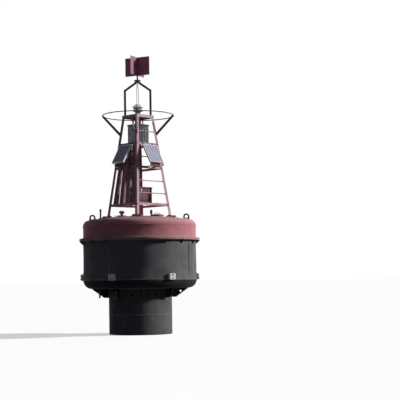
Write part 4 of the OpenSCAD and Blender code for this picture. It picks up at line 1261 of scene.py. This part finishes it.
def lantern_base():
    """The lantern's dark stem and the ring that its lens stands on."""
    base, ring = Shape(), Shape()
    base.turned(lifted(
        LAMP_Z, (0, 0), (88, 0), (90, 2), (90, 8), (87, 10), (66, 11.5), (59, 16), (56, 24), (55, 62),
        (58, 72), (74, 84), (96, 90), (103, 92.5), (0, 92.5),
    ), steps=72)
    for i in range(12):
        base.slab((54, -2.5, 11), (74, 2.5, 30), turn(30 * i) @ move(0, 0, LAMP_Z), 1)
    piece("lantern_stem", base, "stem", ["lantern_base"])
    profile = lifted(LAMP_Z + 0.092, (75, 0), (104, 0), (107.8, 3), (107.8, 11), (104, 14), (75, 14))
    ring.turned(profile, steps=72, loop=True)
    for i in range(8):
        ring.bolt(turn(45 * i + 11) @ move(0.099, 0, LAMP_Z + 0.092) @ DOWN, 0.006)
    piece("lantern_ring", ring, "rubber")


def lantern_top():
    """The ribbed lens, the tiers of lamps inside it, the cap and the studs through the stem's flange."""
    lens, core, cap, studs = Shape(), Shape(), Shape(), Shape()
    tiers = 11
    step = LENS_H / tiers
    outer = []
    for z in levels(LENS_Z, LENS_Z + LENS_H, tiers)[:-1]:
        outer += [(0.0895, z), (0.0928, z + 0.45 * step), (0.0928, z + 0.55 * step)]
    outer.append((0.0895, LENS_Z + LENS_H))
    lens.turned([*outer, (0.083, LENS_Z + LENS_H), (0.083, LENS_Z)], steps=96, loop=True)
    piece("lantern_lens_ribs", lens, "lens", ["lantern_lens"])
    profile = lifted(LENS_Z, (0, 0), (45, 0), (45, 6), (22, 10), (22, 56), (45, 60), (45, 66), (0, 66))
    core.turned(profile, steps=40)
    for i in range(12):
        for z in (20, 33, 46):
            core.slab((21.5, -4, z - 4), (26, 4, z + 4), turn(30 * i) @ move(0, 0, LENS_Z), 1)
    piece("lantern_lamp_tiers", core, "cap")

    low, r = LENS_Z + LENS_H, 0.1235
    dome = [(min(x, r - 0.004), z) for x, z in arc((0, low + 0.080 - r), r, 14, 90, 18) if z > low + 0.016]
    rim = [(r - d, low + up) for d, up in mm((6, 0), (1, 1.5), (0, 5), (0.5, 10), (5, 14))]
    cap.turned([(0, low), *rim, *dome[:-1], (0, low + 0.080)], steps=96)
    for i in range(4):
        cap.rivet(turn(90 * i + 20) @ move(r - 0.014, 0, low + 0.0115) @ facing((0, 0, 1)), 0.005)
    piece("lantern_cap_dome", cap, "cap", ["lantern_cap"])
    for i in range(3):
        studs.bolt(turn(120 * i + 40) @ move(0.077, 0, LAMP_Z + 0.0095), 0.008)
    piece("lantern_studs", studs, "steel")


def bent(corners, radius, steps=7):
    """A path through corners, each rounded to a bend radius."""
    corners = [Vector(c) for c in corners]
    path = [corners[0]]
    for before, here, after in zip(corners, corners[1:], corners[2:]):
        back, on = (before - here).normalized(), (after - here).normalized()
        cut = min(radius / math.tan(back.angle(on) / 2), 0.45 * (before - here).length,
                  0.45 * (after - here).length)
        start, end = here + back * cut, here + on * cut
        for i in range(steps + 1):
            t = i / steps
            path.append(start * (1 - t) ** 2 + here * 2 * t * (1 - t) + end * t ** 2)
    path.append(corners[-1])
    return path


def conduit():
    """The rigid conduit from the lantern down to the battery box, with its clamps."""
    pipe, clamps = Shape(), Shape()
    high, low = leg_r(CONDUIT_UP) - CONDUIT_IN, leg_r(CONDUIT_LOW) - CONDUIT_IN
    level = Z_FOOT + CONDUIT_LOW
    box = turn(-45) @ move(BOX_W / 2 - 0.04, 0, level)
    corners = [
        (CONDUIT_X, CONDUIT_Y, Z_PLAT - PLAT_T), (CONDUIT_X, CONDUIT_Y, Z_TOP - 0.022),
        (0, -high, Z_FOOT + CONDUIT_UP), (0, -low, level),
        box @ Vector((0, -low / math.sqrt(2), 0)), box @ Vector((0, -BOX_W / 2, 0)),
    ]
    pipe.tube(bent(corners, 0.055), 0.010, 12)
    piece("lantern_conduit_pipe", pipe, "pipe", ["lantern_conduit"])
    for h in (0.62, 0.93, 1.25, 1.52):
        clamp = move(0, CONDUIT_IN - leg_r(h), Z_FOOT + h)
        clamps.tube(mm((0, 0, -8), (0, 0, 8)), 0.0125, 14, clamp)
        clamps.slab((-3, -50, -7), (3, -10, 7), clamp, 1)
    piece("conduit_clamps", clamps, "iron")


# Guard and topmark


def guard_details():
    """Feet and bolts of the guard bars, and the bolts round the hub."""
    shape, hub = Shape(), Shape()
    for a in CORNERS:
        foot = turn(a) @ move(GUARD_R, 0, Z_PLAT)
        for s in (-1, 1):
            shape.slab((-23, s * 22 - 18, -0.5), (20, s * 22 + 18, 6), foot, 1.5)
            shape.slab((-23, s * 7 - 3, 0), (20, s * 7 + 3, 45), foot, 1.5)
            shape.bolt(foot @ move(-0.004, s * 0.026, 0.006), 0.0075)
            shape.bolt(foot @ move(0, s * 0.010, 0.026) @ facing((0, s, 0)), 0.0075)
    piece("guard_feet", shape, "dark_red")
    for i in range(8):
        place = turn(45 * i + 22) @ move(0.059, 0, HUB_Z)
        hub.bolt(place @ move(0, 0, 0.012), 0.0075)
        hub.bolt(place @ move(0, 0, 0.048), 0.0075)
        hub.bolt(place @ move(0, 0, 0.036) @ DOWN, 0.006)
    piece("hub_bolts", hub, "dark_red")


def topmark():
    """Crossed plates with worn edges, held by angle clips and bolts to the mast and to each other."""
    shape = Shape()
    shape.tube([(0, 0, z) for z in levels(MARK_Z - 0.02, MARK_Z + 0.30, 6)], 0.012, 14)
    for i in range(4):
        for z in (0.05, 0.19, 0.33):
            clip = turn(MARK_TURN + 90 * i) @ move(0, 0, MARK_Z + z)
            shape.slab((4, 2, -22), (50, 6, 22), clip, 1)
            shape.slab((2, 4, -22), (6, 50, 22), clip, 1)
            shape.bolt(clip @ move(0.034, 0.006, 0) @ facing((0, 1, 0)), 0.007)
            shape.bolt(clip @ move(0.006, 0.034, 0) @ OUT, 0.007)
    piece("topmark_clips", shape, "dark_red")
    end, half_t = MARK_W / 2, 0.0025
    for name, a, spans in (("topmark_plate_a", MARK_TURN, ((-end, end),)),
                           ("topmark_plate_b", MARK_TURN + 90, ((half_t, end), (-end, -half_t)))):
        plate = Shape()
        for x0, x1 in spans:
            plate.block((x0, -half_t, MARK_Z), (x1, half_t, MARK_Z + MARK_H), turn(a), 0.0012, (14, 1, 10))
        piece(name + "_sheet", plate, "mark", [name])


def soften_nodes(names, width):
    """Small bevels on the edges of CAD nodes that stay as they are."""
    for name in names.split():
        weld = nodes[name].modifiers.new("joined", "WELD")
        weld.merge_threshold = 0.00005
        bevel = nodes[name].modifiers.new("soft_edges", "BEVEL")
        bevel.width = width
        bevel.segments = 2
        bevel.limit_method = "ANGLE"
        bevel.angle_limit = math.radians(40)


make_camera()
make_world()
make_lamp("key", SUN, SUN_COLOUR)
make_floor()
finishes = make_finishes()
paint_nodes()
soften_nodes(SOFTENED, SOFT_EDGE)
for make in (
    hull_drum, hull_bottom, deck_shell, rub_ring, hull_welds, anodes, mooring_details, deck_fittings,
    foot_details, joint_bolts, slat_welds, battery_box_details, panel_cells, solar_panels,
    panel_bracket_details, platform_details, hoop_details, radar_reflector, lantern_base, lantern_top,
    conduit, guard_details, topmark,
):
    make()

bpy.context.scene.view_settings.view_transform = "Standard"
